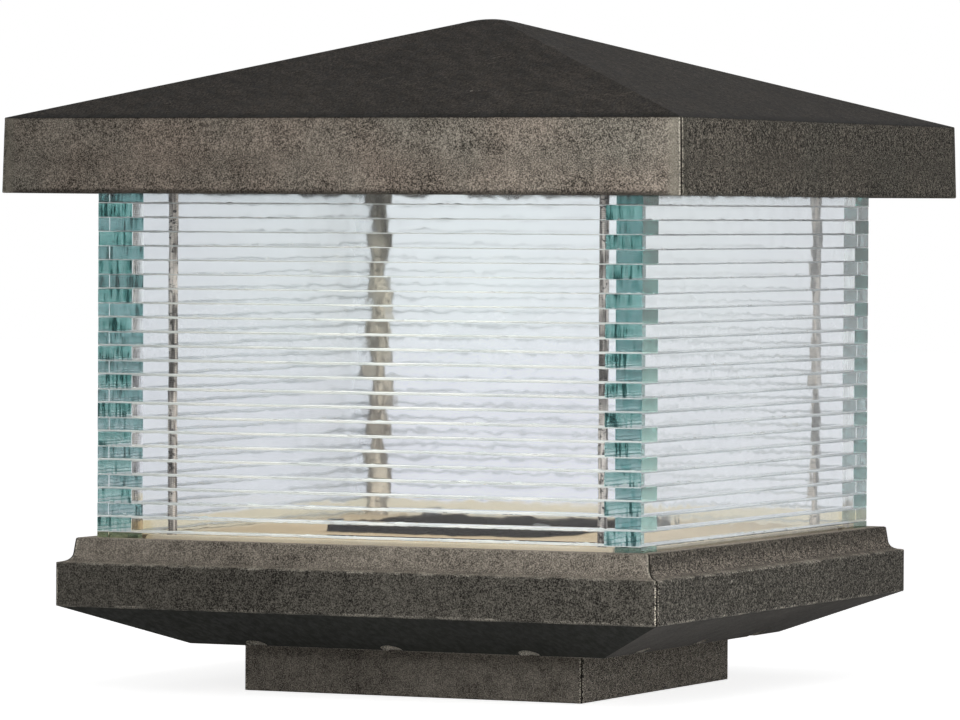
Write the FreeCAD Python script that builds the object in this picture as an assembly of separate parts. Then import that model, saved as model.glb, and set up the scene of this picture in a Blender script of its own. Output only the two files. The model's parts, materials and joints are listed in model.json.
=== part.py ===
import FreeCAD, Part
import math
import os

# Outdoor post light: a hip roof over four walls of stacked glass strips, on a moulded base with a foot.
# Millimetres. The origin is the middle of the foot's underside, +Z is up, and the front wall faces -Y.

Vector = FreeCAD.Vector
UP = Vector(0, 0, 1)
OVERRUN = 2.0  # how far a cutting solid runs past the face that it cuts
SEAT_GAP = 0.2  # rest gap under a piece that lifts off
RUN_GAP = 0.3  # radial gap between pieces that move apart
TINY = 1e-6  # shortest line that an outline keeps
SLOT_LENGTH_SHARE = 0.6  # half a screw slot's length, as a share of the head's radius
SLOT_WIDTH_SHARE = 0.12
SLOT_FLOOR_SHARE = 0.55

# Foot and base casting
FOOT_SIDE = 154.8
FOOT_HEIGHT = 20.0
FOOT_WALL = 6.0
FOOT_WEB = 5.0
FOOT_CORNER_RADIUS = 2.0
FOOT_EDGE_RADIUS = 1.0
FOOT_LEDGE = 17.4  # from the foot's side in to the opening through its web
BASE_FLOOR = 6.0
TAPER_RISE = 17.0
TAPER_RUN = 41.8
BAND_HEIGHT = 17.6
BAND_EDGE_RADIUS = 1.1
BAND_CORNER_RADIUS = 2.2
COVE_RUN = 6.6
COVE_RISE = 10.2
COVE_RADIUS = 5.4
COVE_LEAN_SHARE = 0.18  # how far the cove's upper flank leans out, as a share of its run
COVE_SILL_SHARE = 0.10  # how high the cove's foot starts above the band, as a share of its rise
RIM_WIDTH = 5.8
RIM_EDGE_RADIUS = 0.9
RIM_GAP = 0.6
STEP_WIDTH = 4.2
VENT_DIAMETER = 9.0
VENT_SPACING = 62.0
VENT_OUTSET = 2.0
VENTS_PER_SIDE = 3

# Glass walls, laid like logs
GLASS_SIDE = 245.2
STRIP_WIDTH = 16.0
STRIP_THICKNESS = 5.8
BOND_LINE = 0.1
LAYER_COUNT = 25
GLASS_SINK = 3.3
GASKET_THICKNESS = 1.5
GASKET_INSET = 0.6

# Floor pan and its cover
PAN_CLEARANCE = 0.3
PAN_FLANGE = 4.0
PAN_WALL = 4.0
PLATEAU_RISE = 6.0
PLATEAU_CLEARANCE = 1.0
PLATEAU_EDGE_RADIUS = 1.5
PAD_RADIUS = 8.0
COVER_SIDE = 104.0
COVER_THICKNESS = 3.0
COVER_LAP = 10.0
COVER_CORNER_RADIUS = 7.0
COVER_EDGE_RADIUS = 1.0
COVER_SCREW_RADIUS = 2.0
COVER_SCREW_HEAD_RADIUS = 3.6
COVER_SCREW_HEAD_HEIGHT = 2.2
COVER_SCREW_TAIL = 2.5

# Tie rods in three corners, and the lamp pipe in the fourth
ROD_RADIUS = 2.1
ROD_INSET = 9.1
ROD_TAIL = 2.4
ROD_CLEARANCE = 0.3
INSERT_RADIUS = 4.0
INSERT_LENGTH = 15.0
ROD_BOSS_RADIUS = 7.0
ROD_NUT_FLATS = 7.0
ROD_NUT_HEIGHT = 3.2
WASHER_RADIUS = 5.0
WASHER_THICKNESS = 1.0
PIPE_RADIUS = 5.15
PIPE_BORE_RADIUS = 3.5
PIPE_NUT_FLATS = 14.0
PIPE_NUT_HEIGHT = 4.0
PIPE_TAIL = 3.5
BUSHING_RADIUS = 2.9
BUSHING_FLANGE = 2.0
BUSHING_SPIGOT = 4.0

# Top plate
PLATE_THICKNESS = 2.0
PLATE_CLEARANCE = 1.4
PLATE_CORNER_RADIUS = 4.0
LIGHT_OPENING_MARGIN = 13.5
LIGHT_OPENING_RADIUS = 10.0

# Roof
EAVE_OVERHANG = 29.8
EAVE_DROP = 3.5
FASCIA_HEIGHT = 30.7
FASCIA_DRAFT = 0.7  # how much further in each side of the fascia stands at its top
FASCIA_EDGE_RADIUS = 1.4
ROOF_CORNER_RADIUS = 2.6
HIP_RISE = 45.0
APEX_RADIUS = 25.0
ROOF_WALL = 4.0
ROOF_BOSS_RADIUS = 8.0
ROOF_BOSS_INSET = 14.4
ROOF_SCREW_RADIUS = 2.5
ROOF_SCREW_LENGTH = 13.0
ROOF_SCREW_HEAD_RADIUS = 4.75
ROOF_SCREW_HEAD_HEIGHT = 2.7
ROOF_INSERT_RADIUS = 4.2
ROOF_INSERT_LENGTH = 10.0

# Reflector under the roof
REFLECTOR_GAP = 3.5
REFLECTOR_SHEET = 0.8
REFLECTOR_HALF = 125.0
REFLECTOR_FLAT_HALF = 25.0
REFLECTOR_BOSS_RADIUS = 4.5
REFLECTOR_BOSS_PLACE = 15.0
REFLECTOR_SCREW_RADIUS = 1.5
REFLECTOR_SCREW_HEAD_RADIUS = 3.0
REFLECTOR_SCREW_HEAD_HEIGHT = 1.8
REFLECTOR_SCREW_LENGTH = 6.0

# Lamp cluster: a bridge over the light opening, a six-sided hub, three holders and three lamps
BRIDGE_WIDTH = 24.0
BRIDGE_THICKNESS = 1.6
BRIDGE_LAP = 12.0
BRIDGE_SCREW_RADIUS = 1.7
BRIDGE_SCREW_PITCH = 14.0
BRIDGE_SCREW_HEAD_RADIUS = 3.2
BRIDGE_SCREW_HEAD_HEIGHT = 2.1
BRIDGE_SCREW_TAIL = 2.0
HUB_FLATS = 34.0
HUB_HEIGHT = 30.0
HUB_WALL = 1.5
HUB_COVER_LIP = 1.0
HUB_COVER_THICKNESS = 2.0
HUB_BOLT_RADIUS = 3.0
HUB_BOLT_HEAD_RADIUS = 5.5
HUB_BOLT_HEAD_HEIGHT = 3.0
HUB_BOLT_TAIL = 2.5
HUB_NUT_FLATS = 10.0
HUB_NUT_HEIGHT = 4.0
LEAD_HOLE_RADIUS = 4.0
LAMP_ANGLES = (90, 210, 330)
LEAD_SIDE_ANGLE = 150
HOLDER_RADIUS = 10.0
HOLDER_LENGTH = 28.0
HOLDER_SPIGOT_RADIUS = 7.6
HOLDER_SPIGOT_LENGTH = 5.0
HOLDER_FLOOR = 4.0
HOLDER_WIRE_BORE = 3.0
SHELL_WALL = 0.5
SHELL_LENGTH = 20.0
CONTACT_RADIUS = 2.5
CONTACT_THICKNESS = 1.0
LAMP_CAP_RADIUS = 5.95
LAMP_CAP_WALL = 0.4
LAMP_CAP_LENGTH = 20.5
LAMP_TIP_RADIUS = 2.2
LAMP_TIP_HEIGHT = 1.4
LAMP_CAP_FLOOR = 1.0
LAMP_NECK_LENGTH = 8.0
LAMP_RADIUS = 15.0
LAMP_GLASS_LENGTH = 66.0
LAMP_GLASS_WALL = 0.8
# The envelope's widest, shoulder and top places, as shares of its length and greatest radius
LAMP_SHOULDER_SHARES = (0.24, 1.0)
LAMP_FLANK_SHARES = (0.48, 0.97)
LAMP_TOP_SHARES = (0.9, 0.26)
LAMP_STEM_RADIUS = 2.6
LAMP_STEM_SHARE = 0.34  # how far the glass stem reaches into the envelope
FILAMENT_RADIUS = 0.9
FILAMENT_REACH_SHARE = 0.62
CONTACT_GAP = 0.25

# Leads, in the pipe and out of both its ends
LEAD_RADIUS = 1.1
LEAD_SPREAD = 1.45
LEAD_TURN_ANGLES = (15, 135, 255)  # places of the line, neutral and earth leads round the pipe's axis
LEAD_FAN_ANGLES = (-20, -45, -70)  # their headings in the base
LEAD_BEND = 8.0
LEAD_DROP = 8.0
LEAD_STACK = 2.6
LEAD_APPROACH = 18.0
LEAD_TAIL = 6.0
CONNECTOR_RADIUS = 5.5
CONNECTOR_TIP_RADIUS = 3.6
CONNECTOR_LENGTH = 20.0
CONNECTOR_BORE_DEPTH = 9.0
CONNECTOR_REACH = 36.0
CONNECTOR_FLOOR_GAP = 0.3
EARTH_SCREW_RADIUS = 2.0
EARTH_SCREW_HEAD_RADIUS = 4.0
EARTH_SCREW_HEAD_HEIGHT = 2.4
EARTH_SCREW_TAIL = 2.5
EARTH_RUN = 36.0
EARTH_STEP = 18.0
TERMINAL_LAP = 0.8
TERMINAL_THICKNESS = 0.9
TERMINAL_BARREL = 5.0
TERMINAL_BARREL_RADIUS = 1.8

# Post fixing
POST_PLATE_THICKNESS = 3.0
POST_PLATE_CLEARANCE = 0.5
POST_PLATE_CORNER_RADIUS = 8.0
POST_HOLE_RADIUS = 2.75
POST_HOLE_SPACING = 100.0
WIRE_ENTRY_RADIUS = 12.5
WIRE_ENTRY_PLACE = 36.0
POST_EARTH_PLACE = 36.0
NIPPLE_RADIUS = 4.85
NIPPLE_BORE_RADIUS = 3.5
NIPPLE_NUT_FLATS = 16.0
NIPPLE_NUT_HEIGHT = 6.0
NIPPLE_WASHER_RADIUS = 10.0
NIPPLE_WASHER_THICKNESS = 1.5
NIPPLE_TAIL = 5.0
BAR_WIDTH = 25.0
BAR_THICKNESS = 3.0
BAR_LAP = 12.0
FOOT_SCREW_RADIUS = 2.0
FOOT_SCREW_HEAD_RADIUS = 3.8
FOOT_SCREW_HEAD_HEIGHT = 2.4
FOOT_SCREW_BITE = 5.0

# Heights, worked out from the foot up
foot_top = FOOT_HEIGHT
band_low = foot_top + TAPER_RISE
band_top = band_low + BAND_HEIGHT
rim_top = band_top + COVE_RISE
flange_top = rim_top - GLASS_SINK - GASKET_THICKNESS
pan_step = flange_top - PAN_FLANGE
floor_top = flange_top + PLATEAU_RISE
floor_under = floor_top - PAN_WALL
glass_low = flange_top + GASKET_THICKNESS
layer_pitch = STRIP_THICKNESS + BOND_LINE
glass_top = glass_low + LAYER_COUNT * layer_pitch - BOND_LINE
plate_low = glass_top + GASKET_THICKNESS
plate_top = plate_low + PLATE_THICKNESS
fascia_low = plate_low - EAVE_DROP
fascia_top = fascia_low + FASCIA_HEIGHT
ridge = fascia_top + HIP_RISE
bowl_floor = foot_top + BASE_FLOOR
bridge_top = plate_top + BRIDGE_THICKNESS
hub_top = bridge_top + HUB_HEIGHT
lamp_axis = bridge_top + HUB_HEIGHT / 2

# Half-widths, worked out from the glass outwards
glass_half = GLASS_SIDE / 2
chamber_half = glass_half - STRIP_WIDTH
rim_half = glass_half + RIM_GAP
lip_half = rim_half + RIM_WIDTH
band_half = lip_half + COVE_RUN
taper_half = band_half - TAPER_RUN
bowl_half = rim_half - STEP_WIDTH
foot_half = FOOT_SIDE / 2
foot_inner = foot_half - FOOT_WALL
opening_half = foot_half - FOOT_LEDGE
rod_place = chamber_half - ROD_INSET
plateau_half = chamber_half - PLATEAU_CLEARANCE
cover_half = COVER_SIDE / 2
cover_screw_place = cover_half - COVER_LAP / 2
roof_half = glass_half + EAVE_OVERHANG
roof_inner = roof_half - ROOF_WALL
plate_half = roof_inner - PLATE_CLEARANCE
light_half = rod_place - LIGHT_OPENING_MARGIN
roof_boss_place = roof_inner - ROOF_BOSS_INSET
hub_apothem = HUB_FLATS / 2
taper_slope = TAPER_RISE / TAPER_RUN
eave_half = roof_half - FASCIA_DRAFT
hip_slope = HIP_RISE / eave_half
hip_wall = ROOF_WALL / math.cos(math.atan(hip_slope))

# Rods stand in the front left, front right and back right corners, and the lamp pipe in the back left one
ROD_CORNERS = ((-1, -1), (1, -1), (1, 1))
PIPE_CORNER = (-1, 1)
ALL_CORNERS = ROD_CORNERS + (PIPE_CORNER,)


def corner_points(place, corners=ALL_CORNERS):
    """Centres at the same distance from both middle planes, one for each corner."""
    return [(sx * place, sy * place) for sx, sy in corners]


rod_points = corner_points(rod_place, ROD_CORNERS)
pipe_x, pipe_y = corner_points(rod_place, (PIPE_CORNER,))[0]


def cylinder(radius, low, high, x=0, y=0):
    """An upright cylinder between two heights."""
    return Part.makeCylinder(radius, high - low, Vector(x, y, low))


def ring(outer, inner, low, high, x=0, y=0):
    """An upright ring between two heights."""
    return cylinder(outer, low, high, x, y).cut(cylinder(inner, low - OVERRUN, high + OVERRUN, x, y))


def block(half_x, half_y, low, high, x=0, y=0):
    """An upright block about a centre, between two heights."""
    return Part.makeBox(2 * half_x, 2 * half_y, high - low, Vector(x - half_x, y - half_y, low))


def round_uprights(solid, radius):
    """Rounds a solid's upright and nearly upright edges."""
    upright = [e for e in solid.Edges if abs(e.tangentAt(e.FirstParameter).z) > math.cos(math.pi / 8)]
    return solid.makeFillet(radius, upright)


def column(half, low, high, radius=0.0):
    """A square column, with its upright edges rounded if a radius is given."""
    solid = block(half, half, low, high)
    return round_uprights(solid, radius) if radius > TINY else solid


def bends(places, radii):
    """Edges through the places, with an arc at each inner one, as far as its two runs have room."""
    edges = []
    start = places[0]
    last = len(places) - 1
    for k in range(1, last):
        corner = places[k]
        radius = radii[k]
        first = corner
        end = corner
        if radius > TINY:
            back = places[k - 1] - corner
            ahead = places[k + 1] - corner
            room_back = back.Length if k == 1 else back.Length / 2
            room_ahead = ahead.Length if k == last - 1 else ahead.Length / 2
            back.normalize()
            ahead.normalize()
            half_angle = back.getAngle(ahead) / 2
            reach = min(radius / math.tan(half_angle), room_back, room_ahead)
            radius = reach * math.tan(half_angle)
            first = corner + back * reach
            end = corner + ahead * reach
            middle = corner + (back + ahead).normalize() * (radius / math.sin(half_angle) - radius)
        if (first - start).Length > TINY:
            edges.append(Part.LineSegment(start, first).toShape())
        if radius > TINY:
            edges.append(Part.Arc(first, middle, end).toShape())
        start = end
    if (places[last] - start).Length > TINY:
        edges.append(Part.LineSegment(start, places[last]).toShape())
    return edges


def outline(corners):
    """Edges in the XZ plane through (half-width, height, rounding) corners, from the first to the last."""
    return bends([Vector(half, 0, z) for half, z, _ in corners], [radius for _, _, radius in corners])


def four_sided(corners):
    """The solid whose four sides all have this half-section, which starts and ends at width 0."""
    right = outline(corners)
    left = [edge.mirror(Vector(0, 0, 0), Vector(1, 0, 0)) for edge in right]
    face = Part.Face(Part.Wire(right + left[::-1]))
    reach = max(half for half, _, _ in corners) + OVERRUN
    face.translate(Vector(0, -reach, 0))
    along_y = face.extrude(Vector(0, 2 * reach, 0))
    along_x = along_y.copy()
    along_x.rotate(Vector(0, 0, 0), UP, 90)
    return along_y.common(along_x).removeSplitter()


def lathe(corners):
    """The round solid with this half-section, which starts and ends at radius 0."""
    edges = outline(corners)
    first = Vector(0, 0, corners[0][1])
    last = Vector(0, 0, corners[-1][1])
    edges.append(Part.LineSegment(last, first).toShape())
    return Part.Face(Part.Wire(edges)).revolve(Vector(0, 0, 0), UP, 360)


def six_sided(flats, low, high, x=0, y=0):
    """An upright six-sided prism, with one flat towards +Y."""
    radius = flats / 2 / math.cos(math.pi / 6)
    turns = [k * math.pi / 3 for k in range(7)]
    points = [Vector(x + radius * math.cos(turn), y + radius * math.sin(turn), low) for turn in turns]
    return Part.Face(Part.makePolygon(points)).extrude(Vector(0, 0, high - low))


def nut(flats, bore, low, high, x=0, y=0):
    """A six-sided nut with a plain bore."""
    return six_sided(flats, low, high, x, y).cut(cylinder(bore, low - OVERRUN, high + OVERRUN, x, y))


def pan_head_screw(shank_radius, head_radius, head_height, seat, tip, x=0, y=0):
    """A screw whose head lies on seat and whose shank ends at tip, above or below it."""
    down = tip < seat
    top = seat + head_height if down else seat - head_height
    corners = [
        (0, seat, 0),
        (head_radius, seat, 0),
        (head_radius, top, head_height / 2),
        (0, top, 0),
    ]
    head = lathe(corners)
    head.translate(Vector(x, y, 0))
    shank = cylinder(shank_radius, min(seat, tip), max(seat, tip), x, y)
    slot_x = head_radius * SLOT_LENGTH_SHARE
    slot_y = head_radius * SLOT_WIDTH_SHARE
    slot = block(slot_x, slot_y, min(top, seat), max(top, seat), x, y)
    slot.translate(Vector(0, 0, (top - seat) * SLOT_FLOOR_SHARE))
    return head.fuse(shank).removeSplitter().cut(slot)


def lay(shape, place, angle):
    """Lays a solid that was modelled along +Z at a place, with its axis level and heading the given way."""
    heading = Vector(math.cos(math.radians(angle)), math.sin(math.radians(angle)), 0)
    laid = shape.copy()
    laid.Placement = FreeCAD.Placement(place, FreeCAD.Rotation(UP, heading))
    return laid


def heading_step(place, angle, step):
    """The place one level step further on, the given way."""
    return place + Vector(math.cos(math.radians(angle)), math.sin(math.radians(angle)), 0) * step


def lead(points):
    """A round insulated lead through the points, bent with even arcs."""
    edges = bends(points, [LEAD_BEND] * len(points))
    section = Part.Wire(Part.makeCircle(LEAD_RADIUS, points[0], points[1] - points[0]))
    return Part.Wire(edges).makePipeShell([section], True, False)


def save(name, shapes):
    """Writes a node: one solid, or a group of separate solids."""
    solids = [s for shape in (shapes if isinstance(shapes, list) else [shapes]) for s in shape.Solids]
    assert solids and all(s.isValid() and s.isClosed() for s in solids), name
    shape = solids[0] if len(solids) == 1 else Part.makeCompound(solids)
    shape.exportStep("parts/" + name + ".step")
    print(name, len(solids), round(sum(s.Volume for s in solids)))


def base_housing():
    """The base: an open bowl with a tapered underside, band, cove and rim, and bosses for the rods."""
    shoulder = (lip_half + COVE_RUN * COVE_LEAN_SHARE, band_top + COVE_RISE * COVE_SILL_SHARE)
    body = four_sided(
        [
            (0, foot_top, 0),
            (taper_half, foot_top, 0),
            (band_half, band_low, BAND_EDGE_RADIUS),
            (band_half, band_top, BAND_EDGE_RADIUS),
            (*shoulder, COVE_RADIUS),
            (lip_half, rim_top, RIM_EDGE_RADIUS),
            (0, rim_top, 0),
        ]
    )
    body = body.common(column(band_half, foot_top - OVERRUN, rim_top + OVERRUN, BAND_CORNER_RADIUS))
    bowl = four_sided(
        [
            (0, bowl_floor, 0),
            (taper_half, bowl_floor, 0),
            (bowl_half, bowl_floor + (bowl_half - taper_half) * taper_slope, 0),
            (bowl_half, pan_step + OVERRUN, 0),
            (0, pan_step + OVERRUN, 0),
        ]
    )
    bosses = [cylinder(ROD_BOSS_RADIUS, bowl_floor, pan_step, x, y) for x, y in rod_points]
    body = body.cut(bowl).cut(column(rim_half, pan_step, rim_top + OVERRUN)).fuse(bosses)
    cuts = [column(opening_half, foot_top - OVERRUN, bowl_floor + OVERRUN)]
    for x, y in rod_points:
        cuts.append(cylinder(INSERT_RADIUS, pan_step - INSERT_LENGTH, pan_step + OVERRUN, x, y))
    for x, y in corner_points(foot_screw_place()):
        cuts.append(cylinder(FOOT_SCREW_RADIUS, foot_top - OVERRUN, foot_top + FOOT_SCREW_BITE, x, y))
    vent_place = taper_half + VENT_OUTSET
    vent_top = bowl_floor + (vent_place + VENT_DIAMETER - taper_half) * taper_slope + OVERRUN
    for k in range(VENTS_PER_SIDE):
        along = (k - (VENTS_PER_SIDE - 1) / 2) * VENT_SPACING
        for x, y in ((along, vent_place), (along, -vent_place), (vent_place, along), (-vent_place, along)):
            cuts.append(cylinder(VENT_DIAMETER / 2, foot_top - OVERRUN, vent_top, x, y))
    return body.cut(cuts).removeSplitter()


def foot_screw_place():
    """The foot's screws stand in the middle of its web's width."""
    return (foot_inner + opening_half) / 2


def foot():
    """The square foot: a collar with a web on top, open below for the plate on the post."""
    body = four_sided(
        [
            (0, 0, 0),
            (foot_half, 0, FOOT_EDGE_RADIUS),
            (foot_half, foot_top, 0),
            (0, foot_top, 0),
        ]
    )
    body = body.common(column(foot_half, -OVERRUN, foot_top + OVERRUN, FOOT_CORNER_RADIUS))
    web_low = foot_top - FOOT_WEB
    opening = column(opening_half, web_low - OVERRUN, foot_top + OVERRUN)
    cuts = [column(foot_inner, -OVERRUN, web_low), opening]
    for x, y in corner_points(foot_screw_place()):
        cuts.append(cylinder(FOOT_SCREW_RADIUS, web_low - OVERRUN, foot_top + OVERRUN, x, y))
    return body.cut(cuts)


def foot_screws():
    """Four screws, driven up through the foot's web into the base."""
    seat = foot_top - FOOT_WEB
    tip = foot_top + FOOT_SCREW_BITE
    return [
        pan_head_screw(FOOT_SCREW_RADIUS, FOOT_SCREW_HEAD_RADIUS, FOOT_SCREW_HEAD_HEIGHT, seat, tip, x, y)
        for x, y in corner_points(foot_screw_place())
    ]


def post_plate():
    """The steel plate that is screwed to the post's end, with the wire entry and four screw holes."""
    body = column(foot_inner - POST_PLATE_CLEARANCE, 0, POST_PLATE_THICKNESS, POST_PLATE_CORNER_RADIUS)
    holes = [
        cylinder(NIPPLE_RADIUS, -OVERRUN, POST_PLATE_THICKNESS + OVERRUN),
        cylinder(WIRE_ENTRY_RADIUS, -OVERRUN, POST_PLATE_THICKNESS + OVERRUN, 0, WIRE_ENTRY_PLACE),
        cylinder(EARTH_SCREW_RADIUS, -OVERRUN, POST_PLATE_THICKNESS + OVERRUN, 0, -POST_EARTH_PLACE),
    ]
    for x, y in corner_points(POST_HOLE_SPACING / 2):
        holes.append(cylinder(POST_HOLE_RADIUS, -OVERRUN, POST_PLATE_THICKNESS + OVERRUN, x, y))
    return body.cut(holes)


def clamp_stack():
    """The bar across the base's opening with its nipple, washer and nuts, as (name, solid) pairs."""
    bar_top = bowl_floor + BAR_THICKNESS
    washer_top = bar_top + NIPPLE_WASHER_THICKNESS
    nut_top = washer_top + NIPPLE_NUT_HEIGHT
    bar = block(opening_half + BAR_LAP, BAR_WIDTH / 2, bowl_floor, bar_top)
    bar = bar.cut(cylinder(NIPPLE_RADIUS + ROD_CLEARANCE, bowl_floor - OVERRUN, bar_top + OVERRUN))
    plate_nut_top = POST_PLATE_THICKNESS + NIPPLE_NUT_HEIGHT
    return [
        ("clamp_bar", bar),
        ("post_nipple", ring(NIPPLE_RADIUS, NIPPLE_BORE_RADIUS, 0, nut_top + NIPPLE_TAIL)),
        ("nipple_washer", ring(NIPPLE_WASHER_RADIUS, NIPPLE_RADIUS + ROD_CLEARANCE, bar_top, washer_top)),
        (
            "nipple_nuts",
            [
                nut(NIPPLE_NUT_FLATS, NIPPLE_RADIUS, washer_top, nut_top),
                nut(NIPPLE_NUT_FLATS, NIPPLE_RADIUS, POST_PLATE_THICKNESS, plate_nut_top),
            ],
        ),
    ]


def floor_pan():
    """The chamber's raised floor. Its flange lies under the glass, and its pads stand on the bosses."""
    plateau = four_sided(
        [
            (0, pan_step, 0),
            (plateau_half, pan_step, 0),
            (plateau_half, floor_top, PLATEAU_EDGE_RADIUS),
            (0, floor_top, 0),
        ]
    )
    hollow = column(plateau_half - PAN_WALL, pan_step - OVERRUN, floor_under)
    pads = [cylinder(PAD_RADIUS, pan_step, floor_under, x, y) for x, y in corner_points(rod_place)]
    keep = column(plateau_half, pan_step - OVERRUN, floor_top + OVERRUN)
    body = plateau.fuse(column(rim_half - PAN_CLEARANCE, pan_step, flange_top)).cut(hollow)
    body = body.fuse([pad.common(keep) for pad in pads])
    hatch = column(cover_half - COVER_LAP, floor_under - OVERRUN, floor_top + OVERRUN, COVER_CORNER_RADIUS)
    low, high = pan_step - OVERRUN, floor_top + OVERRUN
    cuts = [hatch, cylinder(PIPE_RADIUS + ROD_CLEARANCE, low, high, pipe_x, pipe_y)]
    for x, y in rod_points:
        cuts.append(cylinder(ROD_RADIUS + ROD_CLEARANCE, low, high, x, y))
    for x, y in corner_points(cover_screw_place):
        hole = cylinder(COVER_SCREW_RADIUS + RUN_GAP, floor_under - OVERRUN, floor_top + OVERRUN, x, y)
        cuts.append(hole)
    return body.cut(cuts).removeSplitter()


def access_cover():
    """The square cover over the wiring hatch."""
    low = floor_top + SEAT_GAP
    body = four_sided(
        [
            (0, low, 0),
            (cover_half, low, 0),
            (cover_half, low + COVER_THICKNESS, COVER_EDGE_RADIUS),
            (0, low + COVER_THICKNESS, 0),
        ]
    )
    keep = column(cover_half, low - OVERRUN, low + COVER_THICKNESS + OVERRUN, COVER_CORNER_RADIUS)
    body = body.common(keep)
    holes = [
        cylinder(COVER_SCREW_RADIUS, low - OVERRUN, low + COVER_THICKNESS + OVERRUN, x, y)
        for x, y in corner_points(cover_screw_place)
    ]
    return body.cut(holes)


def cover_screws():
    """Four captive screws that stay with the cover."""
    seat = floor_top + SEAT_GAP + COVER_THICKNESS
    tip = floor_under - COVER_SCREW_TAIL
    head = COVER_SCREW_HEAD_RADIUS, COVER_SCREW_HEAD_HEIGHT
    places = corner_points(cover_screw_place)
    return [pan_head_screw(COVER_SCREW_RADIUS, *head, seat, tip, x, y) for x, y in places]


def gasket(low):
    """A square ring that lies under or over the glass."""
    outer = column(glass_half - GASKET_INSET, low, low + GASKET_THICKNESS)
    return outer.cut(column(chamber_half + GASKET_INSET, low - OVERRUN, low + GASKET_THICKNESS + OVERRUN))


def glass_wall(sx, sy):
    """One wall of strips: long ones in every second layer, even in front and back and odd at the sides."""
    strips = []
    for layer in range(LAYER_COUNT):
        low = glass_low + layer * layer_pitch
        is_long = (layer % 2 == 0) == (sy != 0)
        half_length = glass_half if is_long else glass_half - STRIP_WIDTH - BOND_LINE
        place = glass_half - STRIP_WIDTH / 2
        half_x = half_length if sy else STRIP_WIDTH / 2
        half_y = STRIP_WIDTH / 2 if sy else half_length
        strips.append(block(half_x, half_y, low, low + STRIP_THICKNESS, sx * place, sy * place))
    return strips


def tie_rods():
    """Three threaded rods, from the inserts in the base up through the top plate's nuts."""
    top = plate_top + WASHER_THICKNESS + ROD_NUT_HEIGHT + ROD_TAIL
    return [cylinder(ROD_RADIUS, pan_step - INSERT_LENGTH, top, x, y) for x, y in rod_points]


def rod_inserts():
    """Brass inserts that the rods screw into."""
    low = pan_step - INSERT_LENGTH
    return [ring(INSERT_RADIUS, ROD_RADIUS, low, pan_step, x, y) for x, y in rod_points]


def rod_washers():
    """Washers on the top plate, under the rod nuts."""
    high = plate_top + WASHER_THICKNESS
    return [ring(WASHER_RADIUS, ROD_RADIUS, plate_top, high, x, y) for x, y in rod_points]


def rod_nuts():
    """Nuts that pull the top plate down on the glass."""
    low = plate_top + WASHER_THICKNESS
    return [nut(ROD_NUT_FLATS, ROD_RADIUS, low, low + ROD_NUT_HEIGHT, x, y) for x, y in rod_points]


pipe_low = pan_step - PIPE_NUT_HEIGHT - PIPE_TAIL
pipe_high = plate_top + PIPE_NUT_HEIGHT + PIPE_TAIL


def lead_place(number, z):
    """The middle of a lead in the lamp pipe, at a height."""
    turn = math.radians(LEAD_TURN_ANGLES[number])
    return Vector(pipe_x + LEAD_SPREAD * math.cos(turn), pipe_y + LEAD_SPREAD * math.sin(turn), z)


# The leads' order, the heights that they cross at, and the earth terminal
LINE, NEUTRAL, EARTH = range(len(LEAD_TURN_ANGLES))
connector_z = bowl_floor + CONNECTOR_FLOOR_GAP + CONNECTOR_RADIUS
lead_low_z = hub_top - LEAD_DROP
lead_hole_z = lead_low_z + LEAD_STACK / 2
earth_x = lead_place(EARTH, 0).x
earth_y = pipe_y - EARTH_RUN
terminal_radius = EARTH_SCREW_HEAD_RADIUS + TERMINAL_LAP


def pipe_nuts():
    """Locknuts on the lamp pipe, under the floor pan and over the top plate."""
    return [
        nut(PIPE_NUT_FLATS, PIPE_RADIUS, pan_step - PIPE_NUT_HEIGHT, pan_step, pipe_x, pipe_y),
        nut(PIPE_NUT_FLATS, PIPE_RADIUS, plate_top, plate_top + PIPE_NUT_HEIGHT, pipe_x, pipe_y),
    ]


def pipe_bushings():
    """Smooth bushings that keep the leads off both ends of the lamp pipe."""
    bushings = []
    for end, out in ((pipe_low, -1), (pipe_high, 1)):
        solids = []
        for radius, length in ((PIPE_RADIUS, BUSHING_FLANGE), (PIPE_BORE_RADIUS, -BUSHING_SPIGOT)):
            far = end + out * length
            solids.append(ring(radius, BUSHING_RADIUS, min(end, far), max(end, far), pipe_x, pipe_y))
        bushings.append(solids[0].fuse(solids[1]).removeSplitter())
    return bushings


def top_plate():
    """The plate over the glass, with the light opening and the holes of what it carries."""
    body = column(plate_half, plate_low, plate_top, PLATE_CORNER_RADIUS)
    low, high = plate_low - OVERRUN, plate_top + OVERRUN
    cuts = [column(light_half, low, high, LIGHT_OPENING_RADIUS)]
    for x, y in rod_points:
        cuts.append(cylinder(ROD_RADIUS + ROD_CLEARANCE, low, high, x, y))
    cuts.append(cylinder(PIPE_RADIUS + ROD_CLEARANCE, low, high, pipe_x, pipe_y))
    for x, y in corner_points(roof_boss_place):
        cuts.append(cylinder(ROOF_SCREW_RADIUS, low, high, x, y))
    for x, y in bridge_screw_points():
        cuts.append(cylinder(BRIDGE_SCREW_RADIUS, low, high, x, y))
    cuts.append(cylinder(EARTH_SCREW_RADIUS, low, high, earth_x, earth_y))
    return body.cut(cuts)


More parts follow.
